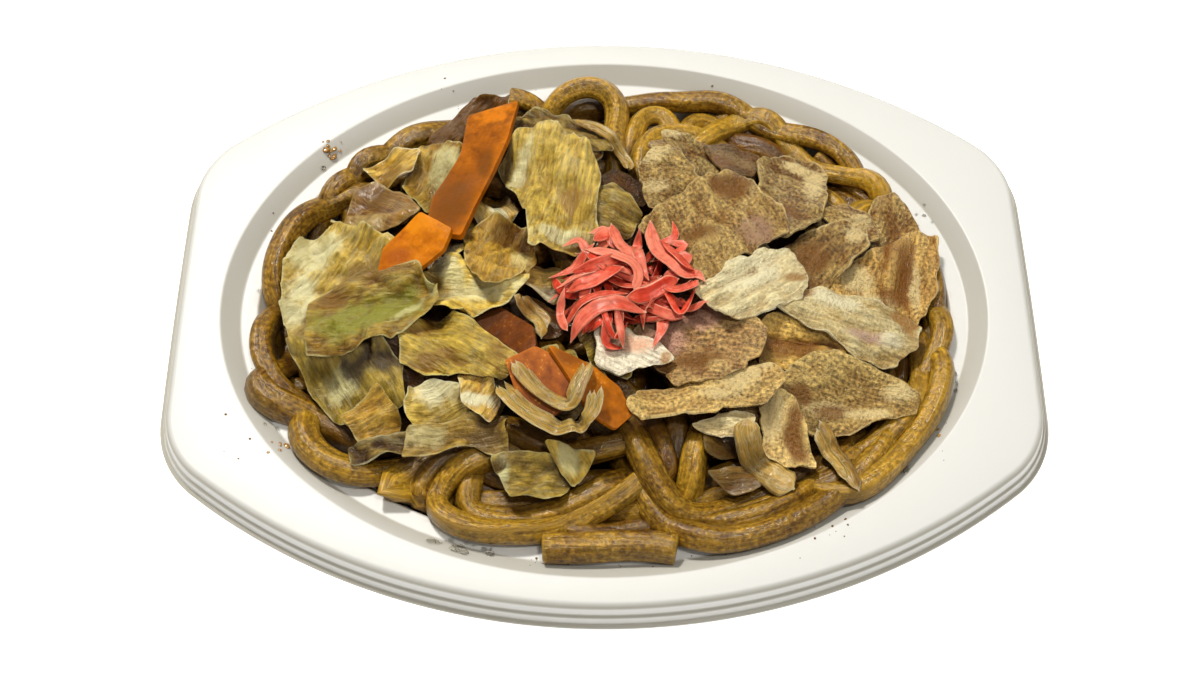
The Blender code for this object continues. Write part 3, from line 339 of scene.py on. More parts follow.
@dataclass(frozen=True)
class FoodFinish:
    """A fried and sauced food: its colours as sRGB hex, its pattern and how glassy it is. Sizes are in mm.

    The glaze is the thin film of sauce that tints all that has been fried with it.
    """

    substance: str
    colour: str
    pale: str
    brown: str
    tint: str
    deep: float = 0.5
    bright: float = 0.45
    # Dark brown painted shade, laid where a place lies below the food round it.
    hollow: str = "3A2210"
    glaze: str = "ECD084"
    # The colour of the dots; on pork they are also painted glints.
    grain: str = "E0C070"
    patch_size: float = 8.0
    mottle_size: float = 2.4
    fibre_size: float = 1.2
    fibres: float = 0.3
    speckles: float = 0.16
    draw_out: float = 8.0
    grain_size: float = 1.1
    grains: float = 0.0
    vein_size: float = 7.0
    veins: float = 0.0
    rim: float = 0.5
    rim_width: float = 0.8
    relief: float = 0.5
    roughness: float = 0.34
    glassy: float = 0.25
    bleed: tuple[float, float, float] = (1.0, 0.65, 0.3)
    coat: float = 0.35
    sparkle_size: float = 0.9
    sparkle: float = 0.5
    specular: float = 0.35
    gloss: float = 0.12
    stray: float = 5.0
    stray_size: float = 9.0

    def patterns(self, node: Any) -> dict:
        """Lay out the noise, and read with it what a piece carries at each place.

        Args:
            node: adds a node to the piece's tree.

        Returns:
            By name, what the colour and the relief are made from.
        """
        flat = node("Attribute", {}, "Vector", attribute_name="flat")
        names = ("edge", "hollow", "tone", *(mark.value for mark in Mark))
        held = {name: node("Attribute", {}, "Fac", attribute_name=name) for name in names}
        drawn = node("Mapping", {"Vector": flat, "Scale": (1 / self.draw_out, 1.0, 1.0)})
        noises = ((flat, self.patch_size, 2.0), (flat, self.mottle_size, 8.0), (drawn, self.fibre_size, 5.0))
        patches, mottle, fibres = (
            node("TexNoise", {"Vector": spot, "Scale": per(size), "Detail": detail, "Roughness": 0.54})
            for spot, size, detail in noises
        )
        grains = node("TexVoronoi", {"Vector": flat, "Scale": per(self.grain_size)})
        # Veins run between cells that are drawn out along the grain, and stray a little.
        wander = node("TexNoise", {"Vector": flat, "Scale": per(self.stray_size), "Detail": 2.0}, "Color")
        bent = node("VectorMath", {0: wander, 1: (self.stray * MM,) * 3, 2: drawn}, operation="MULTIPLY_ADD")
        apart = {"Vector": bent, "Scale": per(self.vein_size)}
        veins = node("TexVoronoi", apart, feature="DISTANCE_TO_EDGE")
        both = node("Math", {0: patches, 1: mottle}, operation="ADD")
        # On toppings the tone also holds painted light on ridges and painted shade in valleys.
        toned = node("Math", {0: both, 1: held["tone"]}, operation="ADD")
        # Rims, the painted shade in hollows and the marks are broken up by the noise.
        carried = [(patches, 2.0, "edge"), (both, 0.5, "hollow")]
        carried += [(both, 1.4, mark.value) for mark in Mark]
        rim, sunk, *marked = (
            node("Math", {0: noise, 1: weight, 2: held[name]}, operation="MULTIPLY_ADD")
            for noise, weight, name in carried
        )
        # Each value is read between two limits, and gives what stands behind them.
        ranges = {
            "share": (toned, 1.15, 1.85, 0.0, 1.0, "LINEAR"),
            "shade": (fibres, 0.3, 0.7, 1 - self.fibres, 1 + self.fibres, "LINEAR"),
            "speckle": (mottle, 0.3, 0.7, 1 - self.speckles, 1 + self.speckles, "LINEAR"),
            "dots": (grains, 0.36, 0.22, 0.0, self.grains, "LINEAR"),
            "somewhere": (both, 0.98, 1.12, 0.0, 1.0, "LINEAR"),
            # Veins; on the noodles these pale lines are painted highlights.
            "ribbed": (veins, 0.07, 0.015, 0.0, self.veins, "SMOOTHSTEP"),
            "cut": (rim, 1.0 + self.rim_width, 0.9, 0.0, self.rim, "LINEAR"),
            # Dark is the share of the painted shade in hollows.
            "dark": (sunk, 0.75, 1.6, 0.0, 0.7, "LINEAR"),
        }
        for mark, value in zip(Mark, marked):
            ranges[mark.value] = (value, 1.65, 2.5, 0.0, 0.87, "SMOOTHSTEP")
        found = {"flat": flat, "mottle": mottle, "fibres": fibres}
        for name, (value, low, high, least, most, way) in ranges.items():
            limits = {"Value": value, "From Min": low, "From Max": high, "To Min": least, "To Max": most}
            found[name] = node("MapRange", limits, interpolation_type=way)
        # The dots show only somewhere; on pork they are also painted glints.
        found["dotted"] = node("Math", {0: found["dots"], 1: found["somewhere"]}, operation="MULTIPLY")
        return found

    def surface_colour(self, node: Any, found: dict) -> bpy.types.NodeSocket:
        """Mix the colour of a piece.

        Args:
            node: adds a node to the piece's tree.
            found: what patterns returned.

        Returns:
            The colour.
        """
        dull = blended(self.colour, self.brown, self.deep)
        clear = blended(self.colour, self.pale, self.bright)
        colour = node("Mix", {0: found["share"], 6: dull, 7: clear}, 2, data_type="RGBA")
        # The fibres, the mottling and the glaze darken and lighten what lies under them.
        for value in (found["shade"], found["speckle"], linear(self.glaze)):
            colour = node("Mix", {0: 1.0, 6: colour, 7: value}, 2, data_type="RGBA", blend_type="MULTIPLY")
        layers = (
            ("dotted", self.grain),
            ("ribbed", self.pale),
            (Mark.TINT.value, self.tint),
            (Mark.PALE.value, self.pale),
            (Mark.BROWN.value, self.brown),
            ("cut", self.pale),
            # The painted shade in hollows comes last.
            ("dark", self.hollow),
        )
        for name, hex_colour in layers:
            colour = node("Mix", {0: found[name], 6: colour, 7: linear(hex_colour)}, 2, data_type="RGBA")
        return colour

    def material(self, piece: str) -> bpy.types.Material:
        """Build the material of one piece.

        Args:
            piece: what tells this piece from the others of its kind.

        Returns:
            The material.
        """
        material, node = new_material(f"{self.substance}, {piece}")
        found = self.patterns(node)
        height = found["mottle"]
        for name, rise in (("fibres", self.fibres * 2), ("ribbed", 0.6), ("dotted", 0.5)):
            height = node("Math", {0: found[name], 1: rise, 2: height}, operation="MULTIPLY_ADD")
        skin = node("Bump", {"Height": height, "Strength": self.relief, "Distance": 0.0012})
        # The film of oil and sauce breaks up the light into small sparkles.
        film = node("TexNoise", {"Vector": found["flat"], "Scale": per(self.sparkle_size), "Detail": 2.0})
        wet = node("Bump", {"Height": film, "Strength": self.sparkle, "Distance": 0.0006, "Normal": skin})
        look = {
            "Base Color": self.surface_colour(node, found),
            "Roughness": self.roughness,
            "IOR": 1.4,
            "Specular IOR Level": self.specular,
            "Subsurface Weight": self.glassy,
            "Subsurface Radius": self.bleed,
            "Subsurface Scale": 0.0014,
            "Coat Weight": self.coat,
            "Coat Roughness": self.gloss,
            "Coat Normal": wet,
            "Normal": skin,
        }
        node("OutputMaterial", {"Surface": node("BsdfPrincipled", look)})
        return material


# Udon: translucent gold wheat noodle with thin pale and brown lines along it, oily.
# Its pale veins are painted highlight lines.
UDON = FoodFinish(
    "udon, boiled and glazed with sauce", colour="7B5A0E", pale="D2B04E", brown="58350C", tint="B08C3A",
    glaze="FFF0AC", grain="E2C070", bright=0.55, deep=0.75, hollow="4A2C0C", patch_size=9.0,
    mottle_size=1.3, fibre_size=0.9, fibres=0.46, speckles=0.36, draw_out=20.0, grain_size=1.3, grains=0.3,
    vein_size=2.6, veins=0.1, rim=0.25, relief=0.4, roughness=0.32, coat=0.6, gloss=0.16, sparkle_size=2.2,
    sparkle=0.4,
)
# Cabbage: thin, moist leaf with paler veins and cut rims, browned where sauce soaked in.
CABBAGE = FoodFinish(
    "cabbage, fried and sauced", colour="C6BA74", pale="F0EAC4", brown="86601F", tint="8C9436", fibres=0.44,
    fibre_size=0.9, speckles=0.34, deep=0.25, bright=0.4, draw_out=5.0, veins=0.14, rim=0.6, rim_width=0.35,
    relief=0.85, coat=0.5, bleed=(1.0, 0.9, 0.45),
)
# Pork: dull grained lean with golden dots, pale fat rims and browned places.
# The golden dots are fat and also painted glints.
PORK = FoodFinish(
    "pork, sliced thin and fried", colour="967A48", pale="E8D096", brown="7C4E18", tint="A8826A",
    grain="FFE4A0", glaze="FFF4D2", bright=0.4, mottle_size=1.0, fibre_size=0.8, fibres=0.38, speckles=0.62,
    draw_out=5.0, grain_size=0.9, grains=0.85, rim=0.6, rim_width=0.35, relief=0.8, roughness=0.4,
    glassy=0.1, bleed=(1.0, 0.8, 0.5), coat=0.6, sparkle_size=0.7, sparkle=0.8,
)
# Carrot: smooth, glassy orange, brown where the sauce lies.
CARROT = FoodFinish(
    "carrot, sliced and fried", colour="C06004", pale="DC7E10", brown="74400E", glaze="FFFFFF",
    tint="D8B060", grain="F0B050", specular=0.1, gloss=0.3, fibres=0.08, fibre_size=1.6, grains=0.1,
    rim=0.2, relief=0.25, roughness=0.4, glassy=0.1, bleed=(1.0, 0.5, 0.1), coat=0.07,
)
# Onion: soft translucent strips, tan with sauce.
ONION = FoodFinish(
    "onion, sliced and fried", colour="A68E58", pale="E2D8B2", brown="6C4A1E", tint="A89060", fibres=0.4,
    fibre_size=0.8, draw_out=14.0, vein_size=1.6, veins=0.3, relief=0.3, glassy=0.5, coat=0.7,
)
# Pickled ginger: glassy coral shreds with pale edges.
GINGER = FoodFinish(
    "pickled ginger, shredded", colour="F04E34", pale="FFB498", brown="B83420", tint="E88A80",
    glaze="FFFFFF", hollow="A42A1A", deep=0.4, fibres=0.26, fibre_size=0.9, draw_out=10.0, rim=0.8,
    rim_width=0.5, relief=0.25, roughness=0.26, glassy=0.4, bleed=(1.0, 0.5, 0.4),
)


@dataclass(frozen=True)
class SauceFinish:
    """Brown noodle sauce with oil: dark and mirror-wet."""

    name: str = "sauce, brown and oily"
    colour: str = "2E1A0C"
    thin: str = "6A451E"
    roughness: float = 0.2

    def material(self) -> bpy.types.Material:
        """Build the material.

        Returns:
            The sauce's material.
        """
        material, node = new_material(self.name)
        spot = node("TexCoord", {}, "Object")
        cloud = node("TexNoise", {"Vector": spot, "Scale": per(3.0), "Detail": 5.0})
        base = node("Mix", {0: cloud, 6: linear(self.colour), 7: linear(self.thin)}, 2, data_type="RGBA")
        lumps = node("Bump", {"Height": cloud, "Strength": 0.4, "Distance": 0.0006})
        look = {"Base Color": base, "Roughness": self.roughness, "IOR": 1.4, "Normal": lumps}
        node("OutputMaterial", {"Surface": node("BsdfPrincipled", look)})
        return material


# ---------------------------------------------------------------- the tray


@dataclass
class Tray:
    """Oval tray of thin foam sheet: a flat rim with a skirt, a step, a ledge and the bowl."""

    half_length: float = 120.0
    half_width: float = 91.5
    short_side_radius: float = 2040.0
    long_side_radius: float = 181.3
    corner_radius: float = 24.6
    bowl_half_length: float = 98.9
    bowl_half_width: float = 74.0
    height: float = 39.0
    wall: float = 1.2
    ledge_width: float = 4.8
    ledge_drop: float = 4.2
    step_width: float = 5.0
    draft: float = 12.5
    bowl_corner: float = 4.0
    skirt_drop: float = 8.4
    lip_reach: float = 3.6
    stations: tuple[int, int, int] = (8, 14, 30)
    # Edges that bend by more than this, in radians, are rounded to this radius.
    bend: float = 0.25
    rounding: float = 0.45
    film_reach: float = 9.0
    # How far the painted shade at the wall and the step reaches past them, in mm.
    blend: float = 0.4
    # Depths below the rim's top of the skirt's edge and its two grooves, in mm, where shade is painted.
    grooves: tuple[float, float, float] = (0.9, 4.3, 7.4)
    finish: TrayFinish = field(default_factory=TrayFinish)

    def rim_arcs(self) -> tuple:
        """Centres and radii of the three arcs of one quarter of the rim's outer edge.

        Returns:
            Three rows of centre x, centre y, radius and the direction in radians at which the arc ends.
        """
        side_x = self.half_length - self.short_side_radius
        long_y = self.half_width - self.long_side_radius
        to_side = self.short_side_radius - self.corner_radius
        to_long = self.long_side_radius - self.corner_radius
        # The corner's centre is where circles round the other two centres meet.
        gap = math.hypot(side_x, long_y)
        reach = (to_side**2 - to_long**2 + gap**2) / (2 * gap)
        rise = math.sqrt(to_side**2 - reach**2)
        unit_x, unit_y = -side_x / gap, long_y / gap
        corner_x = side_x + reach * unit_x - rise * unit_y
        corner_y = reach * unit_y + rise * unit_x
        return (
            (side_x, 0.0, self.short_side_radius, math.atan2(corner_y, corner_x - side_x)),
            (corner_x, corner_y, self.corner_radius, math.atan2(corner_y - long_y, corner_x)),
            (0.0, long_y, self.long_side_radius, math.pi / 2),
        )

    def rim_ring(self, offset: float) -> np.ndarray:
        """Plan points round the rim's outer edge, moved outwards.

        Args:
            offset: distance outwards, in mm.

        Returns:
            Rows of x and y.
        """
        quarter = []
        start = 0.0
        for (cx, cy, radius, end), count in zip(self.rim_arcs(), self.stations):
            reach = radius + offset
            for angle in start + (end - start) * np.arange(count) / count:
                quarter.append((cx + reach * math.cos(angle), cy + reach * math.sin(angle)))
            start = end
        first = np.array(quarter)
        half = np.concatenate([first, [(0.0, self.half_width + offset)], first[:0:-1] * (-1, 1)])
        return np.concatenate([half, -half])

    def bowl_ring(self, offset: float) -> np.ndarray:
        """Plan points round an ellipse outside the bowl's upper edge, in step with rim_ring.

        Args:
            offset: distance outwards, in mm.

        Returns:
            Rows of x and y.
        """
        outer = self.rim_ring(0.0)
        angle = np.arctan2(outer[:, 1] / self.half_width, outer[:, 0] / self.half_length)
        length, width = self.bowl_half_length + offset, self.bowl_half_width + offset
        return np.stack([length * np.cos(angle), width * np.sin(angle)], axis=1)

    def surface_height(self, x: np.ndarray, y: np.ndarray) -> np.ndarray:
        """Height of the tray's upper surface inside the rim.

        Args:
            x, y: plan places in mm.

        Returns:
            Heights in mm over Z = 0.
        """
        ratio = np.hypot(x / self.bowl_half_length, y / self.bowl_half_width)
        offset = (ratio - 1) * np.hypot(x, y) / np.maximum(ratio, 1e-6)
        depth = self.height - self.wall
        step = self.ledge_width + self.step_width
        knots = (-self.draft - self.bowl_corner, -self.draft, 0.0, self.ledge_width, step)
        drops = (depth, depth - self.bowl_corner, self.ledge_drop, self.ledge_drop, 0.0)
        return self.height - np.interp(offset, knots, drops)

    def profile(self) -> list:
        """Rings from the skirt's lower edge over the rim into the bowl, and back along the underside.

        Returns:
            Pairs of plan points and height in mm.
        """
        step = self.ledge_width + self.step_width
        floor = self.height - self.wall
        rim, bowl = self.rim_ring, self.bowl_ring
        over = [
            (rim(self.lip_reach), -self.skirt_drop),
            (rim(self.lip_reach), 0.9 - self.skirt_drop),
            (rim(2.4), 1.1 - self.skirt_drop),
            (rim(1.9), -4.5),
            (rim(1.1), -4.1),
            (rim(0.6), -1.2),
            (rim(-0.9), 0.0),
            (bowl(step), 0.0),
            (bowl(self.ledge_width), -self.ledge_drop),
            (bowl(0.0), -self.ledge_drop),
            (bowl(-self.draft), self.bowl_corner - floor),
            (bowl(-self.draft - self.bowl_corner), -floor),
        ]
        under = [
            (bowl(self.wall - self.draft - self.bowl_corner), -self.height),
            (bowl(self.wall - self.draft), self.bowl_corner - self.height),
            (bowl(self.wall), -self.ledge_drop - self.wall),
            (bowl(self.ledge_width + 0.6), -self.ledge_drop - self.wall),
            (bowl(step + 0.6), -self.wall),
            (rim(-1.5), -self.wall),
            (rim(-0.7), -1.9),
            (rim(-0.1), -5.0),
            (rim(0.8), -5.6),
            (rim(1.3), -self.skirt_drop),
        ]
        return [over, under]

    def build(self) -> bpy.types.Object:
        """Extrude a ring along the section, over and under, then round its corners.

        Returns:
            The tray.
        """
        over, under = self.profile()
        shape = bmesh.new()
        station = shape.verts.layers.int.new("station")
        count = len(over[0][0])
        bmesh.ops.create_circle(shape, segments=count, radius=1.0)
        for index, vert in enumerate(shape.verts):
            vert[station] = index
        edges = list(shape.edges)
        rings = over[1:] + under
        self.move_ring(list(shape.verts), station, over[0])
        first = edges
        for k, ring in enumerate(rings):
            if k == len(over) - 1:
                # The floor closes the inside, and the underside starts again from its own ring.
                bmesh.ops.edgenet_fill(shape, edges=edges)
                corners = {vert for edge in edges for vert in edge.verts}
                made = bmesh.ops.duplicate(shape, geom=edges + list(corners))["geom"]
            else:
                made = bmesh.ops.extrude_edge_only(shape, edges=edges)["geom"]
            edges = only(bmesh.types.BMEdge, made)
            self.move_ring(only(bmesh.types.BMVert, made), station, ring)
            if k == len(over) - 1:
                bmesh.ops.edgenet_fill(shape, edges=edges)
        bmesh.ops.bridge_loops(shape, edges=edges + first)
        bmesh.ops.recalc_face_normals(shape, faces=shape.faces)
        corners = [e for e in shape.edges if e.is_manifold and e.calc_face_angle() > self.bend]
        bmesh.ops.bevel(
            shape,
            geom=corners,
            offset=self.rounding,
            segments=3,
            profile=0.5,
            affect="EDGES",
            material=-1,
            clamp_overlap=True,
        )
        self.paint(shape)
        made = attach(place("tray_foam", mesh_of("tray_foam", shape), self.finish.material()), "root")
        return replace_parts(made, "tray")

    def paint(self, shape: bmesh.types.BMesh) -> None:
        """Note where a film of sauce lies and where shade is painted on the foam.

        Args:
            shape: the tray.
        """
        film = shape.verts.layers.float.new("film")
        drawn = shape.verts.layers.float.new("drawn")
        ledge, step = self.ledge_width, self.ledge_width + self.step_width
        for vert in shape.verts:
            x, y, z = vert.co
            ratio = math.hypot(x / self.bowl_half_length, y / self.bowl_half_width)
            outside = (ratio - 1) * math.hypot(x, y) / max(ratio, 1e-6)
            inside = z > float(self.surface_height(x, y)) - self.wall / 2
            vert[film] = max(0.0, 1.0 - max(0.0, outside + 2.0) / self.film_reach) if inside else 0.0
            # Shade is painted on the wall and the step, and on the skirt at its edge and in its two grooves.
            blend = self.blend
            edges = (-self.draft, -blend, blend, ledge - blend, ledge + blend, step - blend, step + blend)
            grooves = max(math.exp(-(((self.height - z - at) / 0.6) ** 2)) for at in self.grooves)
            thin = float(np.interp(outside, edges, (1.0, 1.0, 0.15, 0.15, 0.8, 0.8, 0.0)))
            vert[drawn] = grooves if outside > step + self.blend else thin

    def move_ring(self, verts: list, station: Any, ring: tuple) -> None:
        """Move a ring of vertices onto a ring of the section.

        Args:
            verts: the ring's vertices.
            station: the layer that holds each vertex's place round the ring.
            ring: plan points and height.
        """
        places, z = ring
        for vert in verts:
            vert.co = (*places[vert[station]], self.height + z)


# ---------------------------------------------------------------- heights in plan


@dataclass
class Heap:
    """The dome that the top of the food follows."""

    half_length: float = 97.0
    half_width: float = 72.0
    rim: float = 39.0
    edge: float = -6.0
    rise: float = 20.0
    power: float = 0.75
    core_drop: float = 20.0

    def top(self, x: np.ndarray, y: np.ndarray) -> np.ndarray:
        """Height of the smooth dome over places in mm."""
        inside = np.clip(1 - (x / self.half_length) ** 2 - (y / self.half_width) ** 2, 0, 1)
        return self.rim + self.edge + self.rise * inside**self.power

    def core(self, x: np.ndarray, y: np.ndarray) -> np.ndarray:
        """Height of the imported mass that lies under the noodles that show."""
        return self.top(x, y) - self.core_drop


class Surface:
    """The highest surface so far, over a square grid in plan."""

    def __init__(self, tray: Tray, heap: Heap) -> None:
        """Start with the tray and the core.

        Args:
            tray: the tray.
            heap: the heap's dome.
        """
        self.heap = heap
        self.xs = np.arange(-tray.half_length - 8, tray.half_length + 8, CELL)
        self.ys = np.arange(-tray.half_width - 8, tray.half_width + 8, CELL)
        self.x, self.y = np.meshgrid(self.xs, self.ys, indexing="ij")
        self.tray = tray.surface_height(self.x, self.y)
        self.cover = np.zeros_like(self.x)
        self.heights = np.maximum(self.tray, heap.core(self.x, self.y))

    def window(self, x: np.ndarray, y: np.ndarray, margin: float) -> tuple[slice, slice]:
        """The part of the grid round some places.

        Args:
            x, y: places in mm.
            margin: how much to add on every side, in mm.

        Returns:
            Slices of columns and rows.
        """
        low = (int((x.min() - margin - self.xs[0]) / CELL), int((y.min() - margin - self.ys[0]) / CELL))
        high = (int((x.max() + margin - self.xs[0]) / CELL), int((y.max() + margin - self.ys[0]) / CELL))
        return slice(max(low[0], 0), high[0] + 2), slice(max(low[1], 0), high[1] + 2)

    def sink_below(self, outlines: list[np.ndarray], drop: float, blur: int) -> None:
        """Make room for the toppings: what lies below them has to lie lower than the heap's dome.

        Args:
            outlines: rows of x and y round each topping.
            drop: how much lower, in mm.
            blur: how many cells the border is softened by.
        """
        for outline in outlines:
            part = self.window(outline[:, 0], outline[:, 1], 2.0)
            x, y = self.x[part], self.y[part]
            inside = border_distance(outline[:, :2], x.ravel(), y.ravel())[0].reshape(x.shape) > 0
            self.cover[part] = np.maximum(self.cover[part], drop * inside)
        for axis in (0, 1):
            shifted = [np.roll(self.cover, shift, axis=axis) for shift in range(-blur, blur + 1)]
            self.cover = sum(shifted) / len(shifted)

    def read(
        self, heights: np.ndarray, x: np.ndarray, y: np.ndarray, part: tuple | None = None
    ) -> np.ndarray:
        """Heights at places in plan, between the points of the grid.

        Args:
            heights: heights on the grid, or on a part of it.
            x, y: places in mm.
            part: the slices of that part, or None for the whole grid.

        Returns:
            Heights in mm.
        """
        first = (part[0].start, part[1].start) if part else (0, 0)
        column = np.clip((x - self.xs[0]) / CELL - first[0], 0, heights.shape[0] - 1.001)
        row = np.clip((y - self.ys[0]) / CELL - first[1], 0, heights.shape[1] - 1.001)
        i, j = column.astype(int), row.astype(int)
        u, v = column - i, row - j
        low = heights[i, j] * (1 - u) + heights[i + 1, j] * u
        return low * (1 - v) + (heights[i, j + 1] * (1 - u) + heights[i + 1, j + 1] * u) * v

    def rolled(self, heights: np.ndarray, radius: float, flat: bool = False) -> np.ndarray:
        """Height of the centre of a ball, or of a flat disc, that touches the surface from above.

        Args:
            heights: surface heights on the grid or a part of it.
            radius: in mm.
            flat: whether it is a disc.

        Returns:
            Heights on the same grid.
        """
        reach = int(radius / CELL)
        best = heights + (0.0 if flat else radius)
        for i in range(-reach, reach + 1):
            for j in range(-reach, reach + 1):
                rest = radius**2 - (i * i + j * j) * CELL**2
                if rest > 0:
                    moved = np.roll(heights, (i, j), axis=(0, 1))
                    best = np.maximum(best, moved + (0.0 if flat else math.sqrt(rest)))
        return best

    def stamp(self, path: np.ndarray, radius: float, rise: float | None = None) -> None:
        """Raise the surface to the top of a strand.

        Args:
            path: rows of x, y and z along its middle.
            radius: half its width in mm.
            rise: half its thickness in mm where that differs.
        """
        rise = radius if rise is None else rise
        for x, y, z in resample(path, 1.0):
            part = self.window(np.array([x]), np.array([y]), radius + CELL)
            share = ((self.x[part] - x) ** 2 + (self.y[part] - y) ** 2) / radius**2
            top = z + rise * np.sqrt(np.clip(1 - share, 0, 1))
            self.heights[part] = np.where(share < 1, np.maximum(self.heights[part], top), self.heights[part])


# ---------------------------------------------------------------- strands


@dataclass(frozen=True)
class Strand:
    """A noodle or a strip: plan points along its middle, with an optional lift in mm as the third number."""

    name: str
    points: tuple
    half_width: float = 3.4
    half_thickness: float = 3.4
    tone: float = 0.5
    brown: float = 0.0
    square: float = 0.1
    threads: int = 1
    cup: float = 0.0


class TubeBatch:
    """Many strands as one joined mesh, kept as arrays."""

    def __init__(self, sides: int, spacing: float) -> None:
        """Start empty.

        Args:
            sides: sides of each strand.
            spacing: distance between its rings, in mm.
        """
        self.sides = sides
        self.spacing = spacing
        self.points: list[np.ndarray] = []
        self.faces: list[list] = []
        self.values: dict[str, list] = {"flat": [], "tone": [], "edge": [], Mark.BROWN.value: []}
        self.total = 0

    def add(self, path: np.ndarray, strand: Strand, seed: int, roll: float, taper: float = 0.0) -> None:
        """Add one strand along a path.

        Args:
            path: rows of x, y and z in mm.
            strand: its sizes and colour.
            seed: sets how its width varies.
            roll: turn about its own length, in radians.
            taper: length of its tapered ends in mm, or 0 for cut ends.
        """
        middle = resample(path, self.spacing)
        count, sides = len(middle), self.sides
        length = np.concatenate([[0], np.cumsum(np.linalg.norm(np.diff(middle, axis=0), axis=1))])
        along = np.gradient(middle, axis=0)
        along /= np.linalg.norm(along, axis=1)[:, None]
        side = np.cross(along, (0.0, 0.0, 1.0))
        side /= np.maximum(np.linalg.norm(side, axis=1), 1e-6)[:, None]
        for k in range(1, count):
            side[k] *= 1 if side[k] @ side[k - 1] > 0 else -1
        up = np.cross(side, along)
        draw = np.random.default_rng(seed)
        phase = draw.uniform(0, 6.3, 4)
        sway = 1 + 0.06 * np.sin(length / 11 + phase[0]) + 0.035 * np.sin(length / 4.7 + phase[1])
        end = np.minimum(length, length[-1] - length)
        if taper:
            sway *= np.clip(0.06 + end / taper, 0, 1) ** 0.75
        angle = np.linspace(0, 2 * math.pi, sides, endpoint=False)
        shape = 1 + strand.square * np.cos(4 * angle)
        wide = strand.half_width * np.cos(angle) * shape
        cupped = strand.cup * strand.half_width * np.cos(angle) ** 2
        high = strand.half_thickness * np.sin(angle) * shape + cupped
        twist = roll + draw.uniform(-0.02, 0.02) * length + 0.12 * np.sin(length / 17 + phase[2])
        cos, sin = np.cos(twist)[:, None], np.sin(twist)[:, None]
        out, lift = (wide * cos - high * sin) * sway[:, None], (wide * sin + high * cos) * sway[:, None]
        rings = middle[:, None] + side[:, None] * out[..., None] + up[:, None] * lift[..., None]
        # A cut end has a rounded lip round a flat face.
        lips = [middle[k] + 0.8 * (rings[k] - middle[k]) + s * 0.4 * along[k] for k, s in ((0, -1), (-1, 1))]
        tips = np.array([middle[k] + s * 0.5 * along[k] for k, s in ((0, -1), (-1, 1))])
        rows = np.concatenate([lips[0][None], rings, lips[1][None]])
        start, ring = self.total, np.arange(sides)
        after = (ring + 1) % sides
        for k in range(count + 1):
            a = start + k * sides
            b = a + sides
            self.faces += np.stack([a + ring, b + ring, b + after, a + after], axis=1).tolist()
        first_tip, last = start + (count + 2) * sides, start + (count + 1) * sides
        self.faces += [[start + (i + 1) % sides, first_tip, start + i] for i in range(sides)]
        self.faces += [[last + i, first_tip + 1, last + (i + 1) % sides] for i in range(sides)]
        self.points += [rows.reshape(-1, 3), tips]
        self.add_values(strand, seed, length, angle)
        self.total += len(rows) * sides + 2

    def add_values(self, strand: Strand, seed: int, length: np.ndarray, angle: np.ndarray) -> None:
        """Add what the material reads: places along and around, distances to the rim, tone and stains.

        Args:
            strand: its sizes and colour.
            seed: moves the pattern, so that no two strands share it.
            length: distance of each ring along the strand, in mm.
            angle: direction of each side, in radians.
        """
        # The two lips repeat the first and the last ring, and the two tips come after them.
        sides, rings = self.sides, len(length) + 2
        run = np.concatenate([[length[0]], length, [length[-1]]])
        around = np.tile(angle * strand.half_width, rings)
        flat = np.stack([np.repeat(run, sides), around, np.full(rings * sides, 11.0 * seed)], axis=1)
        self.values["flat"].append(np.concatenate([flat, flat[[0, -1]]]) * MM)
        rim = np.repeat(np.concatenate([[0], np.minimum(length, length[-1] - length), [0]]), sides)
        if strand.half_thickness < 0.6 * strand.half_width:
            rim = np.minimum(rim, np.tile(strand.half_width * (1 - np.abs(np.cos(angle))) * 3, rings))
        self.values["edge"].append(np.concatenate([rim, [0.4, 0.4]]))
        self.values["tone"].append(np.full(rings * sides + 2, strand.tone))
        # Sauce clings to some lengths more than to others.
        stained = strand.brown + 0.5 * np.clip(ripple(run, run * 0 + 31.0 * seed, 13.0, 900), 0, 1)
        self.values[Mark.BROWN.value].append(np.append(np.repeat(stained, sides), [strand.brown] * 2))

    def build(self, name: str, material: bpy.types.Material) -> bpy.types.Object:
        """Make the joined object.

        Args:
            name: its name.
            material: its material.

        Returns:
            The object.
        """
        mesh = bpy.data.meshes.new(name)
        mesh.from_pydata(np.concatenate(self.points) * MM, [], self.faces)
        for key, rows in self.values.items():
            kind, slot = ("FLOAT_VECTOR", "vector") if key == "flat" else ("FLOAT", "value")
            data = np.concatenate(rows).astype(np.float32).ravel()
            mesh.attributes.new(key, kind, "POINT").data.foreach_set(slot, data)
        # Painted shade in hollows, which shade_hollows fills in.
        mesh.attributes.new("hollow", "FLOAT", "POINT")
        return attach(place(name, mesh, material), "root")


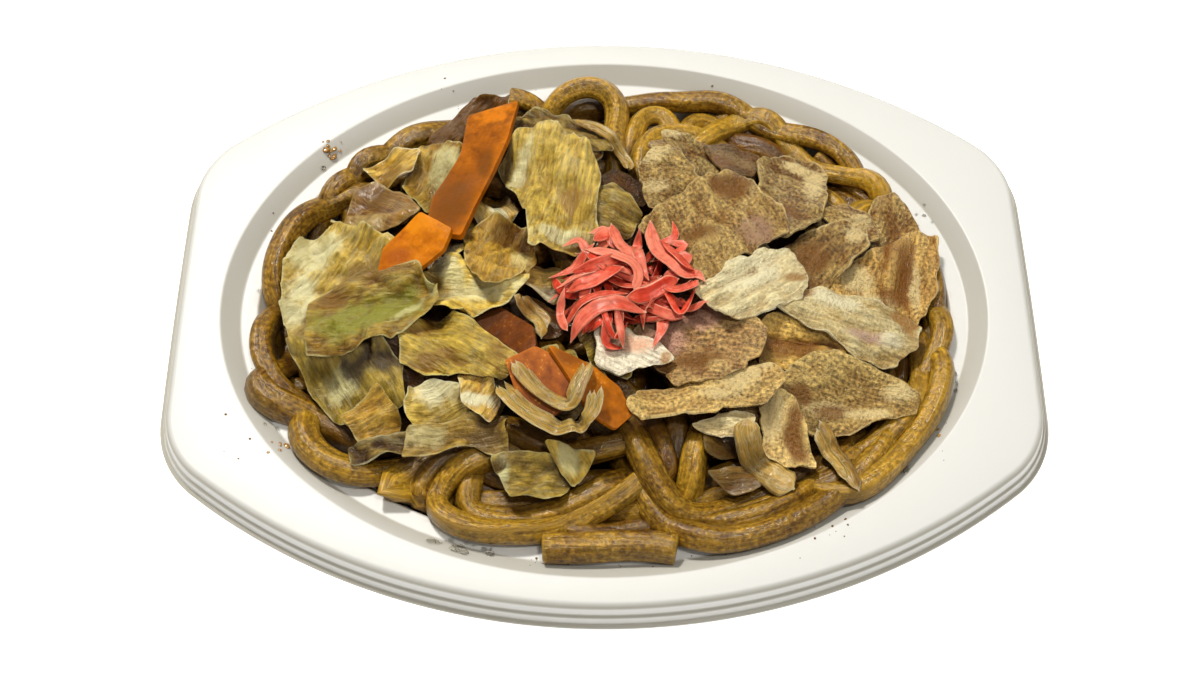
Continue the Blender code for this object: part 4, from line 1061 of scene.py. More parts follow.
# Each noodle that shows whole in the picture, in the order in which they lie.
NOODLES = (
    Strand(
        "left_wall_upper",
        ((-95, 2), (-95, 14), (-91, 25), (-85, 33), (-78, 38), (-72, 42, 1), (-67, 38), (-64, 33)),
        tone=0.45,
    ),
    Strand(
        "back_left", ((-76, 38), (-75, 45, 1), (-69, 50, 1), (-60, 52), (-50, 54), (-42, 58)), tone=0.45,
    ),
    Strand("back_inner", ((-66, 46), (-54, 52), (-40, 50), (-30, 56), (-22, 62))),
    Strand(
        "left_wall_lower", ((-94, -2), (-97, -10), (-96, -18), (-94, -26), (-88, -33)), tone=0.4,
        brown=0.15,
    ),
    Strand(
        "left_diagonal", ((-97, -26), (-90, -32), (-80, -35), (-71, -40), (-64, -43)), 4.2, 3.2, 0.4, 0.3,
    ),
    Strand(
        "left_curl", ((-84, -39), (-81, -47), (-74, -52), (-66, -55), (-58, -54), (-52, -51)), 3.7, 3.4,
        0.6, 0.1,
    ),
    Strand("beside_flat", ((-54, -60), (-49, -53), (-42, -48), (-34, -44))),
    Strand("wide_flat", ((-60, -61), (-56, -56), (-50, -50), (-42, -46), (-34, -44)), 4.4, 3.0, 0.8),
    Strand("behind_arc", ((-29, -41), (-21, -46), (-12, -49), (-2, -49), (8, -46)), tone=0.6, brown=0.1),
    Strand("under_cut", ((-10, -70), (2, -68), (13, -67)), tone=0.3),
    Strand("cut_end", ((-17, -74, 0.5), (-5, -74.5), (8, -74.5), (20, -74)), 3.8, 3.2, 0.48),
    Strand(
        "long_near_right",
        ((11, -61), (14, -67, 1), (21, -71, 2), (32, -72, 1), (44, -69), (55, -63), (64, -57), (72, -49),
            (80, -40)),
    ),
    Strand("near_third", ((28, -68), (40, -66), (51, -60), (60, -53), (68, -45)), tone=0.45),
    Strand(
        "right_outer", ((63, -60), (71, -54), (79, -47), (86, -38), (91, -28), (94, -16)), tone=0.8,
        brown=0.1,
    ),
    Strand("right_second", ((70, -50), (78, -43), (85, -35), (90, -24), (92, -12)), tone=0.6),
    Strand(
        "inner_u", ((-37, -56), (-39, -61), (-34, -65), (-22, -66.5), (-8, -64), (2, -60)), 3.6, 3.4, 0.58,
    ),
    Strand(
        "outer_u",
        ((-29, -48, 1), (-38, -51, 1), (-46, -57), (-47, -64), (-40, -69), (-27, -71), (-14, -69),
            (-3, -64), (5, -60), (10, -57, -1)),
        3.8, 3.5, 0.68,
    ),
    Strand(
        "near_s",
        ((4, -41), (8, -48, 1), (12, -56, 2), (16, -64, 2), (25, -67.5, 1), (35, -65), (46, -59),
            (57, -51)),
        3.7, 3.5, 0.5, 0.2,
    ),
    Strand("short_upright", ((26, -42, 1), (23, -49, 1), (23, -56, 1), (24, -62)), 3.6, 3.4, 0.8),
    Strand("right_fan", ((66, -38), (68, -46), (66, -54), (61, -59))),
    Strand("far_hump_left", ((8, 56), (10, 64, 2), (15, 67, 3), (20, 66, 2), (22, 59)), tone=0.85),
    Strand("far_hump_right", ((24, 57), (27, 64, 2), (32, 65, 2), (37, 62)), tone=0.75),
    Strand("far_bend", ((10, 34), (10, 45), (13, 54, 1), (20, 57, 1), (29, 56)), tone=0.85),
    Strand(
        "far_wave",
        ((18, 45), (27, 53), (35, 60, 1), (41, 64, 2), (48, 63, 2), (54, 58, 1), (60, 51), (66, 46, 1),
            (73, 46, 2), (79, 42, 1), (83, 36)),
        tone=0.85,
    ),
    Strand(
        "small_loop", ((71, 28), (75, 33, 1), (80, 36, 3), (85, 33, 3), (88, 27, 2), (88, 20), (86, 12)),
        tone=0.9,
    ),
    Strand("stub", ((-14, 63, -4), (-21, 70), (-29, 71)), tone=0.45),
    Strand(
        "standing_loop",
        ((-20, 58), (-19, 64, 4), (-14, 70, 9), (-5, 73, 12), (3, 71, 10), (6, 65, 5), (4, 55), (3, 47)),
        tone=0.75,
    ),
)


@dataclass
class NoodleHeap:
    """The noodles: a packed core, the strands that fill in between and those that show whole."""

    tray: Tray
    surface: Surface
    radius: float = 3.4
    press: float = 0.9
    clear: float = 0.5
    stiffness: int = 10
    overtop: float = 3.0
    low_strands: int = 30
    middle_strands: int = 26
    # Half length and half width of the oval that crossing noodles keep to, and of the one for dipping ends.
    crossing_oval: tuple[float, float] = (88.0, 63.0)
    crossing_step: float = 14.0
    tail_oval: tuple[float, float] = (90.0, 65.0)
    tail_step: float = 6.0
    # How much of the turn to the middle each step of a dipping end takes, and how far it has dipped in mm.
    tail: tuple = ((0.12, 3.5), (0.2, 8.0), (0.2, 12.0))
    # Rows along the bowl's wall: inset from its upper edge in mm, then first and last direction in degrees.
    rows: tuple = (
        *((15.0, 20, 66), (16.0, 225, 268), (16.0, 140, 178), (5.5, 38, 92), (5.5, 96, 146)),
        *((10.0, 152, 204), (4.2, -62, -4), (4.4, -2, 34), (11.5, -70, -24), (11.5, -20, 22)),
        *((18.5, -52, 12), (11.5, 198, 236), (9.5, 246, 292)),
    )
    sides: int = 16
    ring_spacing: float = 1.6
    bead_spacing: float = 2.0
    # The pushing apart: rounds, room between middles over the diameter, and the pull home in each round, for
    # the noodles that show whole and for the others.
    rounds: int = 90
    room: float = 0.95
    homing: tuple[float, float] = (0.12, 0.02)
    evening: int = 6
    # How much of each correction a round makes: apart, to the middle of both neighbours, back to its length
    # and down under the dome. All beads also settle by this many mm in a round.
    parting: float = 0.9
    smoothing: float = 0.25
    shortening: float = 0.4
    pressing: float = 0.5
    settling: float = 0.03
    # How far a noodle may rise over the dome and sink into the core, in mm.
    headroom: float = 1.0
    sinking: float = 2.0
    # The core's lumps: height and size in mm, and the seed.
    lumps: tuple = ((1.6, 5.0, 3), (0.7, 2.2, 5))
    finish: FoodFinish = UDON

    def __post_init__(self) -> None:
        """Start the seeded draws."""
        self.draw = random.Random(SEED)

    def crossing(self, reach: float) -> tuple:
        """Plan points of a noodle that crosses the heap in one seeded bend.

        Args:
            reach: how far from the middle it starts, as a share of the bowl.

        Returns:
            Plan points.
        """
        heading = self.draw.uniform(0, 2 * math.pi)
        around, out = self.draw.uniform(0, 2 * math.pi), reach * math.sqrt(self.draw.uniform(0, 1))
        long, wide = self.crossing_oval
        x, y = long * out * math.cos(around), wide * out * math.sin(around)
        points = []
        for _ in range(7):
            ratio = math.hypot(x / long, y / wide)
            if ratio > 1:
                x, y = x / ratio, y / ratio
            points.append((x, y))
            heading += self.draw.uniform(-0.8, 0.8)
            x, y = x + self.crossing_step * math.cos(heading), y + self.crossing_step * math.sin(heading)
        return tuple(points)

    def wall_row(self, inset: float, start: float, end: float) -> tuple:
        """Plan points of a noodle that follows the bowl's wall.

        Args:
            inset: distance from the bowl's upper edge, in mm.
            start: first direction, in degrees.
            end: last direction, in degrees.

        Returns:
            Plan points.
        """
        points = []
        drift = self.draw.uniform(-1.0, 1.0)
        for angle in np.radians(np.linspace(start, end, max(4, round(abs(end - start) / 12)))):
            inset += drift / 5
            length, width = self.tray.bowl_half_length - inset, self.tray.bowl_half_width - inset
            points.append((length * math.cos(angle), width * math.sin(angle)))
        return tuple(points)

    def with_tails(self, strand: Strand, ends: tuple[bool, bool] = (True, True)) -> Strand:
        """Let the ends of a noodle turn inwards and dip below the others.

        Args:
            strand: the noodle.
            ends: whether its first and its last end do so.

        Returns:
            The longer noodle.
        """
        points = [(*point, 0)[:3] for point in strand.points]
        for dips in ends:
            points.reverse()
            (ax, ay, _), (bx, by, lift) = points[-2:]
            heading = math.atan2(by - ay, bx - ax)
            turn = (math.atan2(-by, -bx) - heading + math.pi) % (2 * math.pi) - math.pi
            for share, drop in self.tail if dips else ():
                heading += share * max(-1.2, min(1.2, turn))
                bx, by = bx + self.tail_step * math.cos(heading), by + self.tail_step * math.sin(heading)
                over = max(1.0, math.hypot(bx / self.tail_oval[0], by / self.tail_oval[1]))
                bx, by = bx / over, by / over
                points.append((bx, by, lift - drop))
        return replace(strand, points=tuple(points))

    def strands(self) -> list[Strand]:
        """Every strand, from the lowest to the highest.

        Returns:
            The strands.
        """
        tone = self.draw.uniform
        low = [Strand("low", self.crossing(1.0), tone=tone(0.1, 0.5)) for _ in range(self.low_strands)]
        middle = [Strand("mid", self.crossing(0.8), tone=tone(0.2, 0.6)) for _ in range(self.middle_strands)]
        rows = [Strand("row", self.wall_row(*row), tone=tone(0.3, 0.8)) for row in self.rows]
        # These two show a cut end.
        open_ends = {"cut_end": (False, False), "stub": (True, False)}
        named = [self.with_tails(strand, open_ends.get(strand.name, (True, True))) for strand in NOODLES]
        return low + [self.with_tails(strand) for strand in middle + rows] + named

    def lay(self, strand: Strand) -> np.ndarray:
        """Lay a noodle on the surface: it rests on what is highest and bends no more than a noodle does.

        Args:
            strand: the noodle.

        Returns:
            Rows of x, y and z, with the lift in a fourth column.
        """
        flat = smooth_curve(strand.points, self.bead_spacing)
        x, y, lift = flat.T
        part = self.surface.window(x, y, 2 * self.radius)
        high = self.surface.rolled(self.surface.heights[part], self.radius)
        walls = self.surface.rolled(self.surface.tray[part], self.radius + self.clear)
        clear = self.surface.read(walls, x, y, part)
        least = np.maximum(self.surface.read(high, x, y, part) - self.press, clear)
        height = evened(least, self.stiffness)
        level = self.surface.heap.top(x, y) - self.radius - self.surface.read(self.surface.cover, x, y)
        over = np.maximum(height - level, 0.0)
        height = np.maximum(clear, np.minimum(height, level) + self.overtop * np.tanh(over / self.overtop))
        path = np.stack([x, y, height + lift, lift], axis=1)
        self.surface.stamp(path[:, :3], self.radius)
        return path

    def relax(self, paths: list[np.ndarray]) -> list[np.ndarray]:
        """Push crossing noodles apart until they only touch, as beads along each noodle.

        Args:
            paths: rows of x, y, z and lift for each noodle.

        Returns:
            Rows of x, y and z for each noodle.
        """
        owner = np.concatenate([np.full(len(p), i) for i, p in enumerate(paths)])
        index = np.concatenate([np.arange(len(p)) for p in paths])
        last = np.concatenate([np.full(len(p), len(p) - 1) for p in paths])
        home = np.concatenate(paths)
        lift = home[:, 3]
        home = home[:, :3]
        named = owner >= len(paths) - len(NOODLES)
        hold = np.where(named, *self.homing)
        spot = home.copy()
        inner = (index > 0) & (index < last)
        where = np.flatnonzero(inner)
        rest = np.linalg.norm(np.diff(home, axis=0), axis=1)
        linked = np.flatnonzero(owner[:-1] == owner[1:])
        walls = self.surface.rolled(self.surface.tray, self.radius + self.clear)
        core = self.surface.rolled(self.surface.heap.core(self.surface.x, self.surface.y), self.radius)
        for turn in range(self.rounds):
            if turn % 10 == 0:
                pairs = self.close_pairs(spot, owner, index, 2 * self.radius + 1.5)
            self.separate(spot, *pairs)
            for _ in range(3):
                spot[where] += self.smoothing * (spot[where - 1] + spot[where + 1] - 2 * spot[where])
            link = spot[linked + 1] - spot[linked]
            stretch = np.maximum(np.linalg.norm(link, axis=1), 1e-3)
            pull = link * ((stretch - rest[linked]) / stretch)[:, None] * self.shortening
            np.add.at(spot, linked, pull)
            np.add.at(spot, linked + 1, -pull)
            spot += (home - spot) * hold[:, None]
            self.contain(spot, lift, ((walls, 0.0), (core, self.sinking)))
        for _ in range(self.evening):
            spot[where] += self.smoothing * (spot[where - 1] + spot[where + 1] - 2 * spot[where])
        return [spot[owner == i] for i in range(len(paths))]

    def separate(self, spot: np.ndarray, first: np.ndarray, second: np.ndarray) -> None:
        """Push overlapping beads apart, in place.

        Args:
            spot: rows of x, y and z.
            first: one bead of each close pair.
            second: the other bead of each pair.
        """
        apart = spot[second] - spot[first]
        distance = np.maximum(np.linalg.norm(apart, axis=1), 1e-3)
        overlap = np.maximum(2 * self.radius * self.room - distance, 0)
        push = apart / distance[:, None] * (0.5 * overlap)[:, None]
        move = np.zeros_like(spot)
        hits = np.zeros(len(spot))
        for k, sign in ((first, -1), (second, 1)):
            np.add.at(move, k, sign * push)
            np.add.at(hits, k, overlap > 0)
        spot += move / np.maximum(hits, 1)[:, None] * self.parting

    def contain(self, spot: np.ndarray, lift: np.ndarray, grounds: tuple) -> None:
        """Keep beads below the heap's dome and above what lies under them, in place.

        Args:
            spot: rows of x, y and z.
            lift: how far each bead is meant to stand over the dome, in mm.
            grounds: pairs of heights on the grid and how far a bead may sink into them.
        """
        x, y = spot[:, 0], spot[:, 1]
        ceiling = self.surface.heap.top(x, y) - self.radius + self.headroom + lift
        ceiling -= self.surface.read(self.surface.cover, x, y)
        spot[:, 2] -= self.pressing * np.maximum(spot[:, 2] - ceiling, 0)
        spot[:, 2] -= self.settling * (lift == 0)
        for ground, sunk in grounds:
            spot[:, 2] = np.maximum(spot[:, 2], self.surface.read(ground, x, y) - sunk)

    def close_pairs(self, spot: np.ndarray, owner: np.ndarray, index: np.ndarray, reach: float) -> tuple:
        """Pairs of beads that lie near each other, apart from neighbours on one noodle.

        Args:
            spot: rows of x, y and z.
            owner: which noodle each bead is on.
            index: its number on that noodle.
            reach: greatest distance in mm.

        Returns:
            Two rows of bead numbers.
        """
        firsts, seconds = [], []
        for start in range(0, len(spot), 400):
            chunk = spot[start : start + 400]
            square = ((chunk[:, None] - spot[None]) ** 2).sum(2)
            first, second = np.nonzero(square < reach**2)
            first = first + start
            apart = (owner[first] != owner[second]) | (np.abs(index[first] - index[second]) > 5)
            keep = apart & (first < second)
            firsts.append(first[keep])
            seconds.append(second[keep])
        return np.concatenate(firsts), np.concatenate(seconds)

    def build(self) -> list[bpy.types.Object]:
        """Lay, relax and mesh every noodle over the core.

        Returns:
            The core and the noodles.
        """
        strands = self.strands()
        paths = self.relax([self.lay(strand) for strand in strands])
        core = self.surface.heap.core(self.surface.x, self.surface.y)
        self.surface.heights = np.maximum(self.surface.tray, core)
        batch = TubeBatch(self.sides, self.ring_spacing)
        for number, (strand, path) in enumerate(zip(strands, paths)):
            self.surface.stamp(path, self.radius)
            sized = replace(
                strand,
                half_width=strand.half_width * self.draw.uniform(0.94, 1.06),
                half_thickness=strand.half_thickness * self.draw.uniform(0.92, 1.02),
            )
            batch.add(path, sized, number, roll=self.draw.uniform(-0.4, 0.4))
        noodles = batch.build("udon_strands", self.finish.material("strands"))
        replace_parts(noodles, "noodles")
        return [noodles, self.build_core()]

    def build_core(self) -> bpy.types.Object:
        """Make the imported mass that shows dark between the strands.

        Returns:
            The core.
        """
        shape = bmesh.new()
        bmesh.ops.create_grid(shape, x_segments=120, y_segments=90, size=1.0)
        length, width = self.tray.bowl_half_length, self.tray.bowl_half_width
        for vert in shape.verts:
            # A square grid is turned into an oval one, so that its border follows the bowl.
            u, v = vert.co.x, vert.co.y
            vert.co.x = u * math.sqrt(1 - v * v / 2) * (length - 6)
            vert.co.y = v * math.sqrt(1 - u * u / 2) * (width - 6)
        places = places_of(shape.verts)
        x, y = places[:, 0], places[:, 1]
        lumps = sum(rise * ripple(x, y, size, seed) for rise, size, seed in self.lumps)
        floor = self.tray.surface_height(x, y) + 0.3
        top = np.maximum(self.surface.heap.core(x, y) - 1.5 + lumps, floor)
        for vert, z in zip(shape.verts, top):
            vert.co.z = z
        rim = [e for e in shape.edges if e.is_boundary]
        lower = bmesh.ops.extrude_edge_only(shape, edges=rim)["geom"]
        for vert in only(bmesh.types.BMVert, lower):
            vert.co = (vert.co.x * 0.84, vert.co.y * 0.8, 2.0)
        bmesh.ops.edgenet_fill(shape, edges=only(bmesh.types.BMEdge, lower))
        bmesh.ops.recalc_face_normals(shape, faces=shape.faces)
        core = place("udon_core", mesh_of("udon_core", shape), SauceFinish().material())
        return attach(core, "root")


# ---------------------------------------------------------------- toppings


class Cut(Enum):
    """The kinds of topping."""

    CABBAGE = "cabbage"
    LEAF = "cabbage_green"
    PORK = "pork"
    CARROT = "carrot"
    ONION = "onion"


@dataclass(frozen=True)
class CutForm:
    """What the pieces of one kind of topping share: sizes in mm, slope as a share and curl in radians.

    The rounding is how often the outline's corners are evened out, blunt is the share of the thickness left
    at the rim, fold is the height of the pleats, sag how far the rim hangs down and stiff how little it
    bends, from 0 to 1.
    """

    thickness: float
    wave: float
    crumple: float
    wrinkle: float
    ruffle: float
    ragged: float
    curl: float
    creases: int
    slope: float
    rounding: int = 1
    blunt: float = 0.3
    fold: float = 0.0
    sag: float = 0.2
    stiff: float = 0.0


CUTS = {
    Cut.CABBAGE: CutForm(0.6, 1.4, 1.1, 0.45, 1.3, 0.4, 0.8, 4, 0.3, 0, fold=2.2),
    Cut.LEAF: CutForm(0.55, 1.3, 1.1, 0.45, 1.4, 0.4, 0.9, 4, 0.3, 0, fold=2.2),
    Cut.PORK: CutForm(0.9, 0.8, 0.6, 0.4, 0.8, 1.0, 0.1, 2, 0.12, 0, 0.7, fold=1.0, sag=0.0, stiff=0.4),
    Cut.CARROT: CutForm(2.2, 0.2, 0.1, 0.0, 0.0, 0.05, 0.0, 0, 0.0, 0, 0.85, sag=0.0, stiff=0.9),
    Cut.ONION: CutForm(1.0, 0.6, 0.9, 0.4, 0.6, 0.35, 0.5, 2, 0.15),
}


@dataclass(frozen=True)
class Fold:
    """A ridge along a line, or a crease where the height is below 0. All in mm."""

    x1: float
    y1: float
    x2: float
    y2: float
    height: float
    width: float = 2.0


@dataclass(frozen=True)
class Curl:
    """A stretch of edge that rolls up: its middle, its reach and radius in mm, and the angle in degrees."""

    x: float
    y: float
    reach: float
    angle: float
    radius: float = 2.5


@dataclass(frozen=True)
class Sheet:
    """One topping with an outline: plan points, with an optional lift in mm as the third number.

    Brown, pale and tint are the oval places where it takes that Mark: the middle and the half sizes in mm,
    and an optional turn in degrees.
    """

    name: str
    cut: Cut
    points: tuple
    finish: Any
    grain: float = 0.0
    brown: tuple = ()
    pale: tuple = ()
    tint: tuple = ()
    folds: tuple = ()
    curls: tuple = ()
    ridge: float = 0.0
    tone: float = 0.5

    @property
    def form(self) -> CutForm:
        """The sizes that its kind shares."""
        return CUTS[self.cut]


GREEN_LEAF = replace(CABBAGE, colour="9A8440", pale="CFC98C", tint="8C8E30")
PALE_LEAF = replace(CABBAGE, colour="D2C98C")
OLIVE_LEAF = replace(CABBAGE, colour="A69E58", pale="D0C994", brown="7A5A28")
BROWN_LEAF = replace(CABBAGE, colour="94803F", pale="C6B878", brown="6E4A1E")
GREY_LEAF = replace(CABBAGE, colour="9C9468", pale="CAC49A", brown="6C5228")
LEAN = replace(PORK, colour="A08450")
GREY_PORK = replace(PORK, colour="8E7850", grain="CDB684")
CREAM_PORK = replace(
    PORK, colour="DECEA2", pale="F4EAC4", glaze="FFFCEE", grain="FAF0D0", grains=0.3, brown="A07030",
    deep=0.3, speckles=0.2,
)
# Whiter than pork fat is: painted light for the fat under the ginger.
FAT_PORK = replace(CREAM_PORK, colour="FFF4E2", tint="F8BE9C", glaze="FFFFFF")
GOLD_PORK = replace(PORK, colour="B48C48", grain="EACB84", brown="824E14")
SOFT_ONION = replace(ONION, colour="9C8654", pale="CABB8E", brown="6E4E24")


# What the small torn bits among the noodles are: cabbage first, then onion and pork.
SCRAP_KINDS = (
    (Cut.CABBAGE, PALE_LEAF),
    (Cut.LEAF, OLIVE_LEAF),
    (Cut.LEAF, BROWN_LEAF),
    (Cut.ONION, SOFT_ONION),
    (Cut.PORK, GREY_PORK),
    (Cut.PORK, GOLD_PORK),
)


